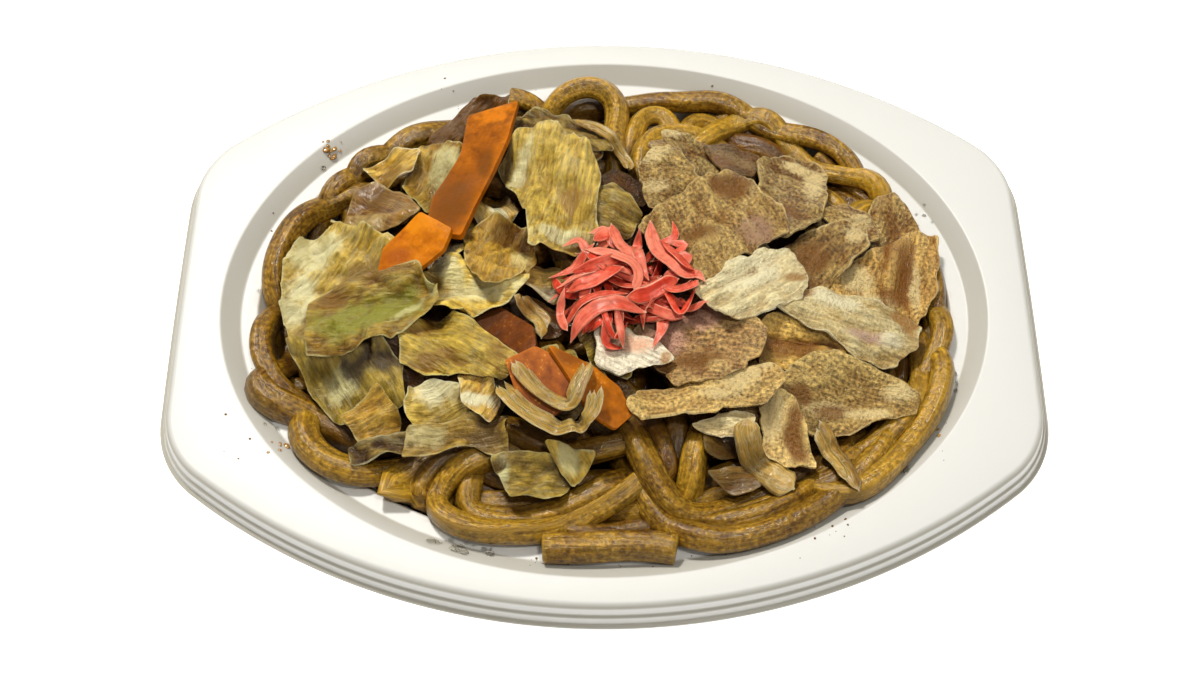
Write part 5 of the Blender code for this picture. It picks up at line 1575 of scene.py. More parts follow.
# Each topping with an outline, from the lowest to the highest.
SHEETS = (
    Sheet(
        "leaf_far_brown", Cut.LEAF,
        ((-54, 49), (-50, 57), (-39, 66), (-30, 66), (-32, 51), (-40, 43), (-49, 46)),
        replace(BROWN_LEAF, colour="5E421A", pale="8A6A30"), grain=40, brown=((-44, 60, 8, 5, 35),),
    ),
    Sheet(
        "cabbage_far", Cut.CABBAGE,
        ((-28, 52), (-28, 61), (-20, 64), (-12, 60), (-3, 52), (1, 45), (-8, 44), (-18, 48)),
        replace(OLIVE_LEAF, colour="665826"), grain=-35, folds=(Fold(-24, 60, -2, 48, 1.8, 1.5),),
    ),
    Sheet(
        "cabbage_gap", Cut.CABBAGE, ((-29, 32), (-25, 24), (-28, 19), (-35, 16), (-38, 20), (-34, 29)),
        replace(PALE_LEAF, colour="C0A862"), grain=-60, pale=((-30, 22, 3, 4),),
        curls=(Curl(-28, 26, 7, 45, 2.0),),
    ),
    Sheet(
        "leaf_far_left", Cut.LEAF,
        ((-58, 36), (-56, 46), (-50, 49), (-43, 49), (-41, 42), (-44, 32), (-50, 25)),
        replace(OLIVE_LEAF, colour="B49E5C"), grain=70, pale=((-46, 41, 5, 8),),
    ),
    Sheet(
        "leaf_back", Cut.LEAF, ((-70, 44), (-62, 50), (-55, 49), (-57, 42), (-64, 39)),
        replace(PALE_LEAF, colour="DEC87A"), grain=30, brown=((-60, 40, 6, 3),),
    ),
    Sheet(
        "onion_browned", Cut.ONION,
        ((-75, 25), (-72, 35), (-67, 37), (-58, 30), (-54, 24), (-60, 20), (-72, 20)),
        replace(SOFT_ONION, colour="80602C", pale="BCA46A"), grain=-40, brown=((-68, 34, 6, 3, -30),),
        pale=((-70, 23, 8, 4),), folds=(Fold(-74, 27, -56, 22, 1.6),),
    ),
    Sheet(
        "pork_far", Cut.PORK, ((18, 50), (25, 49), (32, 41), (33, 35), (26, 33), (20, 41)),
        replace(GREY_PORK, colour="56431F", grain="9A8450"), grain=-50, pale=((20, 49, 5, 3),),
    ),
    Sheet(
        "pork_far_right", Cut.PORK, ((30, 45), (37, 49), (45, 46), (43, 38), (34, 36)),
        replace(LEAN, colour="463216", pale="96784A", grain="8A6A3A"), grain=20, brown=((33, 38, 5, 3),),
        pale=((38, 41, 7, 2.5),),
    ),
    Sheet(
        "pork_dark", Cut.PORK, ((-1, 31), (3, 36), (10, 33), (11, 26), (3, 24)),
        replace(GREY_PORK, colour="281A0C", pale="5E4626", grain="5A4422"), grain=-30,
    ),
    Sheet(
        "cabbage_slip", Cut.CABBAGE, ((-3, 28), (3, 29), (10, 22), (7, 16), (0, 17), (-4, 22)), GREY_LEAF,
        grain=-20,
    ),
    Sheet(
        "leaf_dark", Cut.LEAF, ((-67, -18), (-54, -18), (-50, -26), (-56, -31), (-64, -27)),
        replace(BROWN_LEAF, colour="341A0A", pale="4A2C14"), grain=-30,
    ),
    Sheet(
        "leaf_stained", Cut.LEAF, ((-60, -18), (-52, -16), (-43, -25), (-40, -30), (-50, -33), (-60, -27)),
        replace(BROWN_LEAF, colour="6A4426", pale="9C7A4A", brown="46260F"), grain=-30,
        brown=((-54, -23, 10, 8),),
    ),
    Sheet(
        "onion_bed", Cut.ONION, ((-26, -8), (-19, -8), (-13, -11), (-12, -18), (-17, -20), (-24, -15)),
        replace(SOFT_ONION, colour="744A22", pale="B49A6C"), grain=-20, ridge=0.3,
        brown=((-16, -16, 5, 3),), pale=((-22, -10, 4, 2),),
    ),
    # Its colour, tone and pale patch are far lighter than the leaf's own: painted light against the shade
    # between the leaves and the ginger.
    Sheet(
        "cabbage_by_ginger", Cut.CABBAGE, ((-23, 2, 1), (-14, 4, 1), (-9, -2), (-13, -8), (-23, -5, 1)),
        replace(PALE_LEAF, colour="FFF0C4", brown="B07040"), grain=10, tone=1.0, pale=((-16, -5, 6, 2.5),),
    ),
    Sheet(
        "cabbage_left", Cut.CABBAGE,
        ((-90, 3), (-89, 11), (-87, 19), (-81, 20), (-79, 24, 1), (-75, 20), (-61, 13), (-59, 2), (-64, -7),
            (-74, -17), (-84, -16), (-88, -8)),
        replace(PALE_LEAF, colour="D0C886", pale="EAE5B8", brown="A88A50"), grain=50,
        brown=((-68, 6, 8, 4), (-80, -14, 6, 5), (-70, -14, 6, 6)),
        pale=((-84, 14, 9, 9), (-86, -2, 6, 12)),
        folds=(Fold(-79, 22, -78, 9, 1.8, 1.8), Fold(-78, 10, -90, 2, 1.4, 2.5),
            Fold(-76, 2, -66, 7, -1.2)),
        curls=(Curl(-88, 20, 9, 70, 3.0), Curl(-91, 0, 10, 60, 3.0), Curl(-80, 24, 6, 100, 2.2)),
    ),
    Sheet(
        "leaf_low_left", Cut.LEAF,
        ((-85, -17), (-74, -15), (-62, -18), (-56, -25), (-55, -34), (-62, -37), (-71, -37), (-78, -30)),
        replace(OLIVE_LEAF, brown="2E180A"), grain=-60, brown=((-58, -22, 11, 9), (-66, -19, 8, 4)),
        pale=((-72, -29, 6, 5),), curls=(Curl(-75, -34, 9, 60),),
    ),
    Sheet(
        "leaf_low_tip", Cut.LEAF, ((-70, -37), (-61, -31), (-56, -37), (-56, -41), (-65, -43)),
        replace(BROWN_LEAF, colour="C8B068"), grain=20, curls=(Curl(-66, -42, 6, 60, 2.0),),
    ),
    Sheet(
        "leaf_square", Cut.LEAF, ((-68, -45), (-61, -43), (-53, -42), (-54, -47), (-61, -48), (-67, -50)),
        replace(GREY_LEAF, colour="422E0E"), grain=5,
    ),
    # Its colour and tone are lighter than the leaf's own: painted light in a shaded place.
    Sheet(
        "cabbage_crumpled", Cut.CABBAGE,
        ((-53, -36, 1), (-51, -32, 1), (-46, -31, 1), (-39, -33, 1), (-37, -38), (-42, -41), (-50, -42),
            (-52, -40)),
        replace(PALE_LEAF, colour="FCF4BC"), grain=15, tone=0.9, pale=((-45, -35, 8, 4),),
        folds=(Fold(-52, -38, -40, -37, 1.5, 1.5), Fold(-48, -33, -44, -41, 1.2, 1.2)),
        curls=(Curl(-53, -37, 5, 90, 1.8), Curl(-44, -41, 6, 70, 1.8)),
    ),
    Sheet(
        "cabbage_curl", Cut.CABBAGE,
        ((-52, -50), (-51, -43), (-45, -42), (-33, -40, 1), (-27, -41, 2), (-27, -51, 2), (-32, -49),
            (-35, -47), (-44, -49)),
        replace(GREY_LEAF, colour="988850", pale="CEC088"), grain=5,
        brown=((-31, -45, 5, 4), (-38, -41, 6, 2)), pale=((-48, -47, 7, 3),),
        folds=(Fold(-38, -45, -29, -46, 1.2, 1.6),),
        curls=(Curl(-27, -46, 5, 110, 2.0), Curl(-51, -47, 5, 50, 2.0)),
    ),
    Sheet(
        "leaf_near", Cut.LEAF, ((-29, -52), (-22, -51), (-14, -52), (-10, -57), (-12, -61), (-24, -61)),
        replace(GREY_LEAF, colour="AEA66E", pale="D0CC9A", tint="8E9A50"), grain=5,
        brown=((-25, -53, 5, 2.5, 20),), pale=((-27, -57, 2, 5),),
        folds=(Fold(-26, -57, -13, -57, 0.8, 1.0),),
    ),
    Sheet(
        "cabbage_near", Cut.CABBAGE, ((-15, -49), (-3, -50, 1), (-5, -55), (-8, -58), (-11, -55)),
        replace(OLIVE_LEAF, colour="DCCE74"), grain=-60, pale=((-9, -53, 3, 6),),
        curls=(Curl(-5, -53, 5, 80, 1.8),),
    ),
    Sheet(
        "onion_near_right", Cut.ONION, ((27, -46), (38, -46), (38, -50), (31, -53), (27, -52)),
        replace(SOFT_ONION, colour="5A4824", pale="7A6638"),
    ),
    Sheet(
        "onion_low_right", Cut.ONION, ((28, -56), (37, -53), (43, -57), (35, -61)),
        replace(SOFT_ONION, colour="786440", pale="988660"), grain=10,
    ),
    Sheet(
        "leaf_speckled", Cut.LEAF, ((-39, -29, 1), (-31, -28, 1), (-28, -36), (-31, -41), (-37, -37)),
        replace(PALE_LEAF, colour="DCC680", brown="B07C3C"), grain=60, pale=((-34, -39, 6, 2),),
    ),
    Sheet(
        "carrot_dark", Cut.CARROT, ((-39, -11), (-30, -9), (-20, -18), (-19, -24), (-24, -26)),
        replace(CARROT, colour="64300C", pale="8A4A14", brown="4A2810"), grain=-40,
        brown=((-34, -13, 7, 5),),
    ),
    Sheet(
        "cabbage_middle", Cut.CABBAGE,
        ((-54, -17), (-48, -12), (-41, -11), (-31, -19), (-25, -25), (-28, -29), (-45, -28), (-53, -24)),
        replace(PALE_LEAF, colour="CAC27E", pale="DCD494"), grain=-30,
        brown=((-51, -17, 5, 4), (-44, -27, 8, 2.5), (-28, -27, 4, 3)),
        folds=(Fold(-52, -21, -28, -25, 0.9, 1.2), Fold(-50, -24, -32, -28, 0.8, 1.0)),
        curls=(Curl(-36, -16, 12, 45, 2.0),),
    ),
    Sheet(
        "carrot_speckled", Cut.CARROT,
        ((-25, -27), (-18, -24), (-9, -28), (-8, -36), (-15, -40), (-21, -38)),
        replace(CARROT, colour="B06236", brown="5A2C18", grains=0.75), grain=-30,
    ),
    Sheet(
        "carrot_streak", Cut.CARROT,
        ((-14, -25), (-3, -29), (3, -33), (6, -39), (2, -43), (-4, -40), (-9, -32)),
        replace(CARROT, colour="B46812", brown="8A4C1C", grains=0.3), grain=-45, brown=((-10, -29, 5, 4),),
    ),
    Sheet(
        "pork_loop_side", Cut.PORK, ((78, 31), (85, 36), (90, 25), (89, 18), (81, 13), (77, 18)),
        replace(LEAN, colour="806032"), grain=70,
    ),
    Sheet(
        "pork_browned", Cut.PORK,
        ((64, 0), (70, 8), (80, 14), (88, 20), (94, 19), (94, 8), (91, 0), (87, -5), (78, -2), (67, -1)),
        replace(GOLD_PORK, colour="C49C56"), grain=80, brown=((83, 9, 5, 8), (82, -1, 4, 3)),
        pale=((71, 3, 6, 5), (88, 4, 2, 8), (76, -3, 7, 2)),
    ),
    Sheet(
        "pork_right_far", Cut.PORK, ((62, 24), (69, 28), (77, 25), (77, 18), (68, 17)),
        replace(GOLD_PORK, colour="7A5E2A"), grain=10, pale=((73, 21, 4, 3),),
        folds=(Fold(63, 23, 76, 22, 1.2, 1.5),),
    ),
    Sheet(
        "pork_right", Cut.PORK,
        ((52, 12), (60, 17), (67, 20), (74, 19), (73, 12), (67, 7), (61, -1), (53, 2)),
        replace(LEAN, colour="6E5428", grain="BE9C58"), grain=50, brown=((58, 8, 5, 5),),
        pale=((71, 15, 4, 4),),
    ),
    # Its colour is made lighter as painted light, against the shadow that pork_long casts on it.
    Sheet(
        "pork_yellow", Cut.PORK,
        ((42, -16), (48, -13), (58, -14), (65, -18), (63, -24), (56, -27), (43, -25)),
        replace(GOLD_PORK, colour="ECC468", grain="C4A458", grains=0.3), grain=-5,
        brown=((52, -22, 10, 3),), folds=(Fold(43, -20, 62, -20, -1.6, 1.6),),
    ),
    Sheet(
        "pork_long", Cut.PORK,
        ((47, -9), (54, -4), (64, -3), (74, -4), (80, -5), (86, -9), (85, -15), (76, -21), (68, -19),
            (57, -14)),
        replace(CREAM_PORK, colour="C8B27C", tint="C8A494"), grain=-12,
        brown=((84, -11, 3, 5, 30), (54, -6, 4, 2)), pale=((62, -7, 10, 2.5, -8), (79, -17, 4, 2)),
        tint=((72, -17, 9, 2),),
    ),
    Sheet(
        "pork_low_right", Cut.PORK,
        ((47, -29), (56, -24), (63, -22), (76, -26), (84, -30), (82, -35), (66, -40), (57, -41), (50, -36)),
        replace(LEAN, colour="B6A06C", grain="CFB67C"), grain=-12, brown=((53, -34, 4, 3), (61, -38, 5, 2)),
        pale=((60, -37, 6, 2.5), (80, -32, 5, 2.5), (70, -38, 8, 1.8)),
    ),
    Sheet(
        "pork_lump", Cut.PORK, ((42, -37), (48, -33), (53, -40), (55, -51), (48, -52), (43, -46)),
        replace(GOLD_PORK, colour="F4DCA4", grains=0.3), grain=80, brown=((51, -45, 3, 8),),
        pale=((45, -42, 3.5, 7),),
    ),
    Sheet(
        "pork_fat_strip", Cut.PORK, ((24, -42), (30, -40), (39, -40), (39, -45), (31, -46)),
        replace(CREAM_PORK, colour="F6E2B0"), grain=-5, folds=(Fold(25, -43, 38, -43, 0.8, 1.2),),
    ),
    Sheet(
        "pork_low", Cut.PORK,
        ((7, -39), (11, -33), (22, -31), (33, -29), (43, -27), (46, -31), (41, -37), (30, -39), (20, -40),
            (12, -42)),
        replace(LEAN, colour="D8BC84", grain="DCC084"), grain=12, brown=((28, -31, 5, 1.5),),
        pale=((37, -33, 8, 3.5, 20), (30, -37, 6, 2), (43, -29, 3, 2)),
    ),
    Sheet(
        "pork_pink", Cut.PORK,
        ((8, -18), (14, -13), (24, -11), (35, -12), (42, -18), (39, -26), (31, -31), (20, -30), (14, -24)),
        replace(GREY_PORK, colour="A88868", grain="CCAE8C", tint="CE9C88"), grain=-10,
        brown=((25, -27, 8, 2.5),), tint=((16, -19, 8, 6), (26, -15, 8, 4)),
    ),
    # Its white colour, white glaze and high tone are painted light, against the shade of the ginger over it.
    Sheet(
        "pork_fat", Cut.PORK, ((-1, -19), (6, -17), (13, -21), (18, -26), (10, -27), (4, -30), (-1, -29)),
        replace(FAT_PORK, brown="B88444", deep=0.15, grains=0.1), grain=-20, tone=0.9,
        brown=((17, -26, 2, 2),), tint=((8, -22, 6, 3),),
    ),
    # Its high tone and its wide pale patch beside leaf_brown are painted light, against the shadow that
    # leaf_brown casts on it.
    Sheet(
        "cabbage_curled", Cut.CABBAGE,
        ((-50, -1, 2), (-46, 6, 1), (-40, 5), (-30, -1), (-22, -3), (-27, -8), (-36, -11), (-45, -9, 1)),
        replace(PALE_LEAF, colour="F0E490", pale="F4ECB4"), grain=-15, tone=0.8,
        pale=((-42, -1, 3, 7, 40), (-34, -7, 14, 4)), folds=(Fold(-41, 3, -35, -7, 1.5, 1.2),),
        curls=(Curl(-48, 2, 9, 70), Curl(-35, -10, 10, 60, 2.2)),
    ),
    Sheet(
        "leaf_brown", Cut.LEAF,
        ((-38, 12), (-31, 18), (-22, 17), (-20, 5, -1), (-23, -2, -2), (-32, -4, -2), (-37, 3, -1)),
        replace(BROWN_LEAF, colour="BCA45A", pale="D8C684"), grain=75, brown=((-28, 13, 6, 5),),
        pale=((-23, 2, 3, 6),), folds=(Fold(-37, 8, -23, 6, 1.0, 1.5),),
        curls=(Curl(-21, 12, 8, 40, 2.0), Curl(-29, -4, 9, 8, 2.0)),
    ),
    Sheet(
        "cabbage_top", Cut.CABBAGE,
        ((-29, 42), (-24, 50), (-15, 51), (-7, 43), (-2, 32), (-4, 25), (-3, 17), (-9, 11), (-20, 8),
            (-21, 22), (-26, 31)),
        replace(PALE_LEAF, colour="CAC48A", pale="E8E2B0", brown="A88444"), grain=80, tone=0.65,
        brown=((-8, 25, 5, 3),), pale=((-13, 12, 9, 3, 15), (-24, 40, 2.5, 12, -20)),
        folds=(Fold(-22, 45, -16, 20, 1.4, 2.2), Fold(-19, 17, -5, 19, -1.4, 1.6),
            Fold(-20, 12, -4, 15, 1.5)),
        curls=(Curl(-12, 9, 9, 60, 2.2), Curl(-3, 30, 8, 70, 2.0), Curl(-27, 36, 8, 60)),
    ),
    Sheet(
        "carrot_long", Cut.CARROT,
        ((-40, 58), (-27, 62), (-29, 48), (-35, 27), (-39, 13), (-48, 16), (-47, 28), (-41, 43)),
        replace(CARROT, colour="9A5004", brown="70400F"), grain=75,
        brown=((-42, 20, 7, 14, -15), (-34, 36, 3, 8)), pale=((-32, 58, 5, 5),),
    ),
    Sheet(
        "carrot_bright", Cut.CARROT, ((-61, 5), (-60, 11), (-51, 19), (-43, 13), (-45, 8), (-56, 1)),
        replace(CARROT, colour="CA7006", pale="E48A10", brown="A8540E"), grain=35, brown=((-57, 3, 4, 3),),
        pale=((-50, 13, 6, 4),),
    ),
    Sheet(
        "leaf_green", Cut.LEAF,
        ((-80, -3), (-72, 3), (-62, 2), (-53, 3), (-46, -3, 2), (-47, -8, 2), (-57, -16, 1), (-70, -18),
            (-79, -18, 1)),
        replace(GREEN_LEAF, brown="8A6428", vein_size=6.0, deep=0.15),
        brown=((-62, 1, 14, 3.5), (-75, -3, 5, 4)), pale=((-53, -13, 8, 1.6, 38), (-46, -6, 1.8, 5)),
        tint=((-67, -14, 14, 6.5), (-56, -11, 8, 7, 30)),
        folds=(Fold(-79, -5, -52, 0, 0.9, 1.5), Fold(-62, -7, -48, -4, 1.6)),
        curls=(Curl(-47, -6, 9, 150, 2.0), Curl(-79, -18, 4, 150, 1.4), Curl(-64, -18, 16, 55, 1.8)),
    ),
    Sheet(
        "pork_edge", Cut.PORK,
        ((46, 42), (53, 46), (61, 45), (64, 39), (63, 30), (60, 21), (50, 15), (45, 27)),
        replace(GREY_PORK, colour="66512A", grain="CBB280"), grain=-50, brown=((50, 22, 5, 4),),
        pale=((61, 35, 3.5, 9, -10), (56, 42, 5, 2.5, -20)),
    ),
    Sheet(
        "pork_upper", Cut.PORK, ((10, 38), (15, 43), (21, 42), (27, 34), (20, 28), (13, 27)),
        replace(GREY_PORK, colour="8C7648"), grain=-20, pale=((14, 39, 6, 3, 10), (15, 30, 4, 2)),
    ),
    Sheet(
        "pork_big", Cut.PORK,
        ((12, 18), (14, 22), (23, 27), (30, 33), (39, 33), (44, 25), (49, 20), (49, 13), (43, 11), (33, 3),
            (25, -5), (21, 1), (18, 12)),
        replace(LEAN, colour="947C50", grain="C6A664"), grain=-70, brown=((36, 30, 6, 4), (28, 12, 5, 4)),
        tint=((42, 12, 6, 6),),
    ),
    Sheet(
        "pork_fan", Cut.PORK,
        ((50, 9), (44, 9), (34, 2), (26, -6), (32, -12), (40, -12), (52, -5), (55, 0)),
        replace(CREAM_PORK, colour="DCCEA6"), ridge=1.0, grain=38, brown=((52, -3, 3, 2),),
        pale=((40, -2, 12, 6, 38),),
        folds=(Fold(28, -6, 44, 6, 1.2, 0.8), Fold(31, -8, 48, 5, -0.9, 0.7),
            Fold(34, -9, 50, 2, 0.9, 0.8)),
    ),
)


@dataclass
class Toppings:
    """The cabbage, pork, carrot and onion that lie on the noodles."""

    surface: Surface
    cell: float = 0.85
    settle_rounds: int = 45
    spread: float = 1.15
    wave_size: float = 15.0
    crumple_size: float = 6.5
    # Wrinkles are smaller than crumples by this share. Both are this much longer along the grain, and they
    # wander: by how many mm, and the size of the bends, along the grain and across it.
    wrinkle_share: float = 0.4
    crease_length: float = 2.2
    crease_bends: tuple = ((2.0, 9.0), (3.0, 11.0))
    # How far in from the rim the ruffles reach, and their length and height over the kind's own.
    ruffle_reach: float = 3.0
    ruffle_size: float = 5.0
    ruffle_rise: float = 1.6
    # Fine ribs along the grain: length over width, and width in mm.
    rib_length: float = 9.0
    rib_size: float = 1.6
    # Pleats: their distance, by how many mm and in bends of what size they wander, and the shares of each
    # that rise and drop.
    pleat_gap: float = 7.5
    pleat_bends: tuple[float, float] = (2.5, 12.0)
    pleat_sides: tuple[float, float] = (0.82, 0.18)
    steepest: float = 0.35
    outline_step: float = 1.2
    headroom: float = 2.0
    sharpest: float = 50.0
    ridge_rounds: int = 14
    ridge_height: float = 0.7
    scrap_count: int = 60
    scrap_cover: float = 4.6
    scrap_reach: tuple[float, float] = (78.0, 48.0)
    # Half the length of a scrap in mm, and its width as a share of its length.
    scrap_length: tuple[float, float] = (5.5, 10.5)
    scrap_width: tuple[float, float] = (0.45, 0.8)
    # Cosine over sine of the height from which the picture was taken.
    parallax: float = 0.554

    def outline(self, sheet: Sheet, seed: int) -> np.ndarray:
        """A topping's outline: straight cuts between rounded corners, a little ragged.

        Args:
            sheet: the topping.
            seed: sets the raggedness.

        Returns:
            Rows of x, y and lift, anticlockwise.
        """
        given = full_rows(sheet.points)
        following = np.roll(given, -1, axis=0)
        if (given[:, 0] * following[:, 1] - following[:, 0] * given[:, 1]).sum() < 0:
            given = given[::-1].copy()
        middle = given[:, :2].mean(0)
        given[:, :2] = middle + self.spread * (given[:, :2] - middle)
        border = resample(np.concatenate([given, given[:1]]), self.outline_step)[:-1]
        for _ in range(sheet.form.rounding):
            border = 0.25 * np.roll(border, 1, axis=0) + 0.5 * border + 0.25 * np.roll(border, -1, axis=0)
        out = border[:, :2] - middle
        out /= np.linalg.norm(out, axis=1)[:, None]
        x, y = border[:, 0], border[:, 1]
        ragged = sheet.form.ragged * (ripple(x, y, 4.0, seed + 100) + 0.6 * ripple(x, y, 1.7, seed + 200))
        border[:, :2] += out * ragged[:, None]
        return border

    def drape(self, part: tuple, distance: np.ndarray, stiff: float) -> tuple[np.ndarray, np.ndarray]:
        """Lay a sheet on what lies below it.

        Args:
            part: slices of the grid round the sheet.
            distance: distance inside the outline on that part.
            stiff: 0 for a limp sheet, 1 for one that stays flat.

        Returns:
            The lowest heights that clear what lies below, and those of the sheet.
        """
        inside = (distance > -1.6).astype(float)
        least = self.surface.rolled(self.surface.heights[part], 1.3, flat=True) + GAP
        height = least.copy()
        rings = (
            ((2, 0), (-2, 0), (0, 2), (0, -2), (1, 1), (1, -1), (-1, 1), (-1, -1)),
            ((1, 0), (-1, 0), (0, 1), (0, -1)),
        )
        for turn in range(self.settle_rounds + 3):
            # The last rounds only take the corners off, without holding the sheet up.
            free = turn >= self.settle_rounds
            total, weight = height * inside, inside.copy()
            for shift in rings[free]:
                total += np.roll(height * inside, shift, axis=(0, 1))
                weight += np.roll(inside, shift, axis=(0, 1))
            height = np.maximum(total / np.maximum(weight, 1), 0.0 if free else least)
        # A stiff slice bridges the hollows, and presses what stands highest down a little.
        spots = np.stack([self.surface.x[part], self.surface.y[part], np.ones_like(least)], axis=-1)
        plane = np.linalg.lstsq(spots[distance > 0], height[distance > 0], rcond=None)[0]
        plane[:2] *= min(1.0, self.steepest / max(float(np.hypot(*plane[:2])), 1e-6))
        flat = spots @ plane
        flat += (least - flat)[distance > 0].max() - 2.0 * stiff
        height = height * (1 - stiff) + flat * stiff
        return least - 2.0 * stiff, np.where(inside > 0, height, least)

    def flat_mesh(self, border: np.ndarray, turn: float) -> bmesh.types.BMesh:
        """Fill an outline with a grid whose rows run along the grain.

        Args:
            border: rows of x, y and lift.
            turn: direction of the rows, in degrees.

        Returns:
            The flat bmesh, trimmed to the outline.
        """
        middle = (border[:, :2].min(0) + border[:, :2].max(0)) / 2
        half = float(np.linalg.norm(border[:, :2] - middle, axis=1).max()) + self.cell
        count = round(2 * half / self.cell)
        shape = bmesh.new()
        bmesh.ops.create_grid(shape, x_segments=count, y_segments=count, size=half)
        angle = math.radians(turn)
        cos, sin = math.cos(angle), math.sin(angle)
        for vert in shape.verts:
            x, y, _ = vert.co
            vert.co = (middle[0] + x * cos - y * sin, middle[1] + x * sin + y * cos, 0.0)
        places = places_of(shape.verts)
        distance, _ = border_distance(border[:, :2], places[:, 0], places[:, 1])
        kept = distance > 0.3 * self.cell
        dead = [f for f in shape.faces if not any(kept[v.index] for v in f.verts)]
        bmesh.ops.delete(shape, geom=dead, context="FACES")
        loose = [v for v in shape.verts if not v.link_faces]
        bmesh.ops.delete(shape, geom=loose, context="VERTS")
        for _ in range(2):
            self.snap([v for v in shape.verts if v.is_boundary], border[:, :2])
            flat_axes = {"use_axis_x": True, "use_axis_y": True, "use_axis_z": False}
            bmesh.ops.smooth_vert(shape, verts=list(shape.verts), factor=0.5, **flat_axes)
        self.snap([v for v in shape.verts if v.is_boundary], border[:, :2])
        return shape

    def snap(self, rim: list, border: np.ndarray) -> None:
        """Move vertices onto the outline.

        Args:
            rim: the vertices.
            border: rows of x and y.
        """
        places = places_of(rim)[:, :2]
        side = np.roll(border, -1, axis=0) - border
        along = ((places[:, None] - border[None]) * side).sum(2) / np.maximum((side**2).sum(1), 1e-9)
        spot = border[None] + np.clip(along, 0, 1)[..., None] * side
        nearest = np.linalg.norm(spot - places[:, None], axis=2).argmin(1)
        for vert, target in zip(rim, spot[np.arange(len(rim)), nearest]):
            vert.co.x, vert.co.y = target

    def relief(
        self, sheet: Sheet, x: np.ndarray, y: np.ndarray, distance: np.ndarray, seed: int
    ) -> np.ndarray:
        """Waves, crumples, creases and ruffles over the settled sheet.

        Args:
            sheet: the topping.
            x, y: places in mm.
            distance: distance inside the outline, in mm.
            seed: sets the waves.

        Returns:
            Heights in mm, all above 0.
        """
        form = sheet.form
        rise = form.wave * 0.5 * (1 + ripple(x, y, self.wave_size, seed + 300))
        along, across = along_and_across(x, y, math.radians(sheet.grain))
        # Where the lattice crosses zero the sheet is creased, mostly along its grain. The places are bent a
        # little, so that creases wander.
        (along_bend, along_size), (across_bend, across_size) = self.crease_bends
        bent_x = along / self.crease_length + along_bend * ripple(x, y, along_size, seed + 410)
        bent_y = across + across_bend * ripple(x, y, across_size, seed + 420)
        wrinkle_size = self.wrinkle_share * self.crumple_size
        rise += form.crumple * (1 - np.abs(ripple(bent_x, bent_y, self.crumple_size, seed + 400))) ** 4
        rise += form.wrinkle * (1 - np.abs(ripple(bent_x, bent_y, wrinkle_size, seed + 430))) ** 2
        # The rim waves up and down, and sags onto what lies below.
        rim = np.exp(-np.clip(distance, 0, None) / self.ruffle_reach)
        ruffles = self.ruffle_rise * ripple(x, y, self.ruffle_size, seed + 450)
        rise += form.ruffle * rim * (ruffles - form.sag)
        ribs = ripple(along / self.rib_length, across, self.rib_size, seed + 500)
        rise += (0.08 * form.crumple + sheet.ridge) * (1 + ribs)
        draw = random.Random(seed)
        self.add_pleats(rise, sheet, x, y, seed, draw)
        self.add_creases(rise, sheet, x, y, float(distance.max()), draw)
        for fold in sheet.folds:
            start, end = np.array([fold.x1, fold.y1]), np.array([fold.x2, fold.y2])
            line = end - start
            share = np.clip(((x - start[0]) * line[0] + (y - start[1]) * line[1]) / (line @ line), 0, 1)
            gap = np.hypot(x - start[0] - share * line[0], y - start[1] - share * line[1])
            rise += fold.height * np.exp(-gap / fold.width)
        return rise

    def add_pleats(
        self, rise: np.ndarray, sheet: Sheet, x: np.ndarray, y: np.ndarray, seed: int, draw: random.Random
    ) -> None:
        """Add pleats to the heights: each rises slowly and drops steeply, as where a leaf doubles over.

        Args:
            rise: the heights in mm, changed in place.
            sheet: the topping.
            x, y: places in mm.
            seed: sets how the pleats wander.
            draw: sets their direction and their start.
        """
        lean = math.radians(sheet.grain) + draw.uniform(-0.5, 0.5)
        bend, size = self.pleat_bends
        share = along_and_across(x, y, lean)[1] + bend * ripple(x, y, size, seed + 460)
        share = (share / self.pleat_gap + draw.random()) % 1.0
        strength = np.clip(0.6 + 0.9 * ripple(x, y, 9.0, seed + 470), 0, 1)
        slow, steep = self.pleat_sides
        rise += sheet.form.fold * strength * np.minimum(share / slow, (1 - share) / steep)

    def add_creases(
        self, rise: np.ndarray, sheet: Sheet, x: np.ndarray, y: np.ndarray, reach: float, draw: random.Random
    ) -> None:
        """Add straight creases to the heights: in turn a ridge and a valley with flat slopes.

        Args:
            rise: the heights in mm, changed in place.
            sheet: the topping.
            x, y: places in mm.
            reach: greatest distance inside the outline, in mm.
            draw: sets where the creases run.
        """
        span = math.sqrt(max(reach, 1.0)) * 3.2
        middle = np.mean([p[:2] for p in sheet.points], axis=0)
        for number in range(sheet.form.creases):
            turn = draw.uniform(0, math.pi)
            off = along_and_across(x - middle[0], y - middle[1], turn)[0] - draw.uniform(-0.3, 0.3) * span
            slope = sheet.form.slope * draw.uniform(0.5, 1.0)
            rise += slope * (np.abs(off) if number % 2 else np.clip(span - np.abs(off), 0, None))

    def build_sheet(self, sheet: Sheet, seed: int, material: bpy.types.Material) -> bpy.types.Object:
        """Settle one topping, give it thickness, waves, curled edges and its marks.

        Args:
            sheet: the topping.
            seed: sets its waves and its edge.
            material: its material.

        Returns:
            The topping.
        """
        form = sheet.form
        border = self.outline(sheet, seed)
        part, depth, settled = self.settle(sheet, border, seed)
        level = self.surface.heap.top(self.surface.x[part], self.surface.y[part])
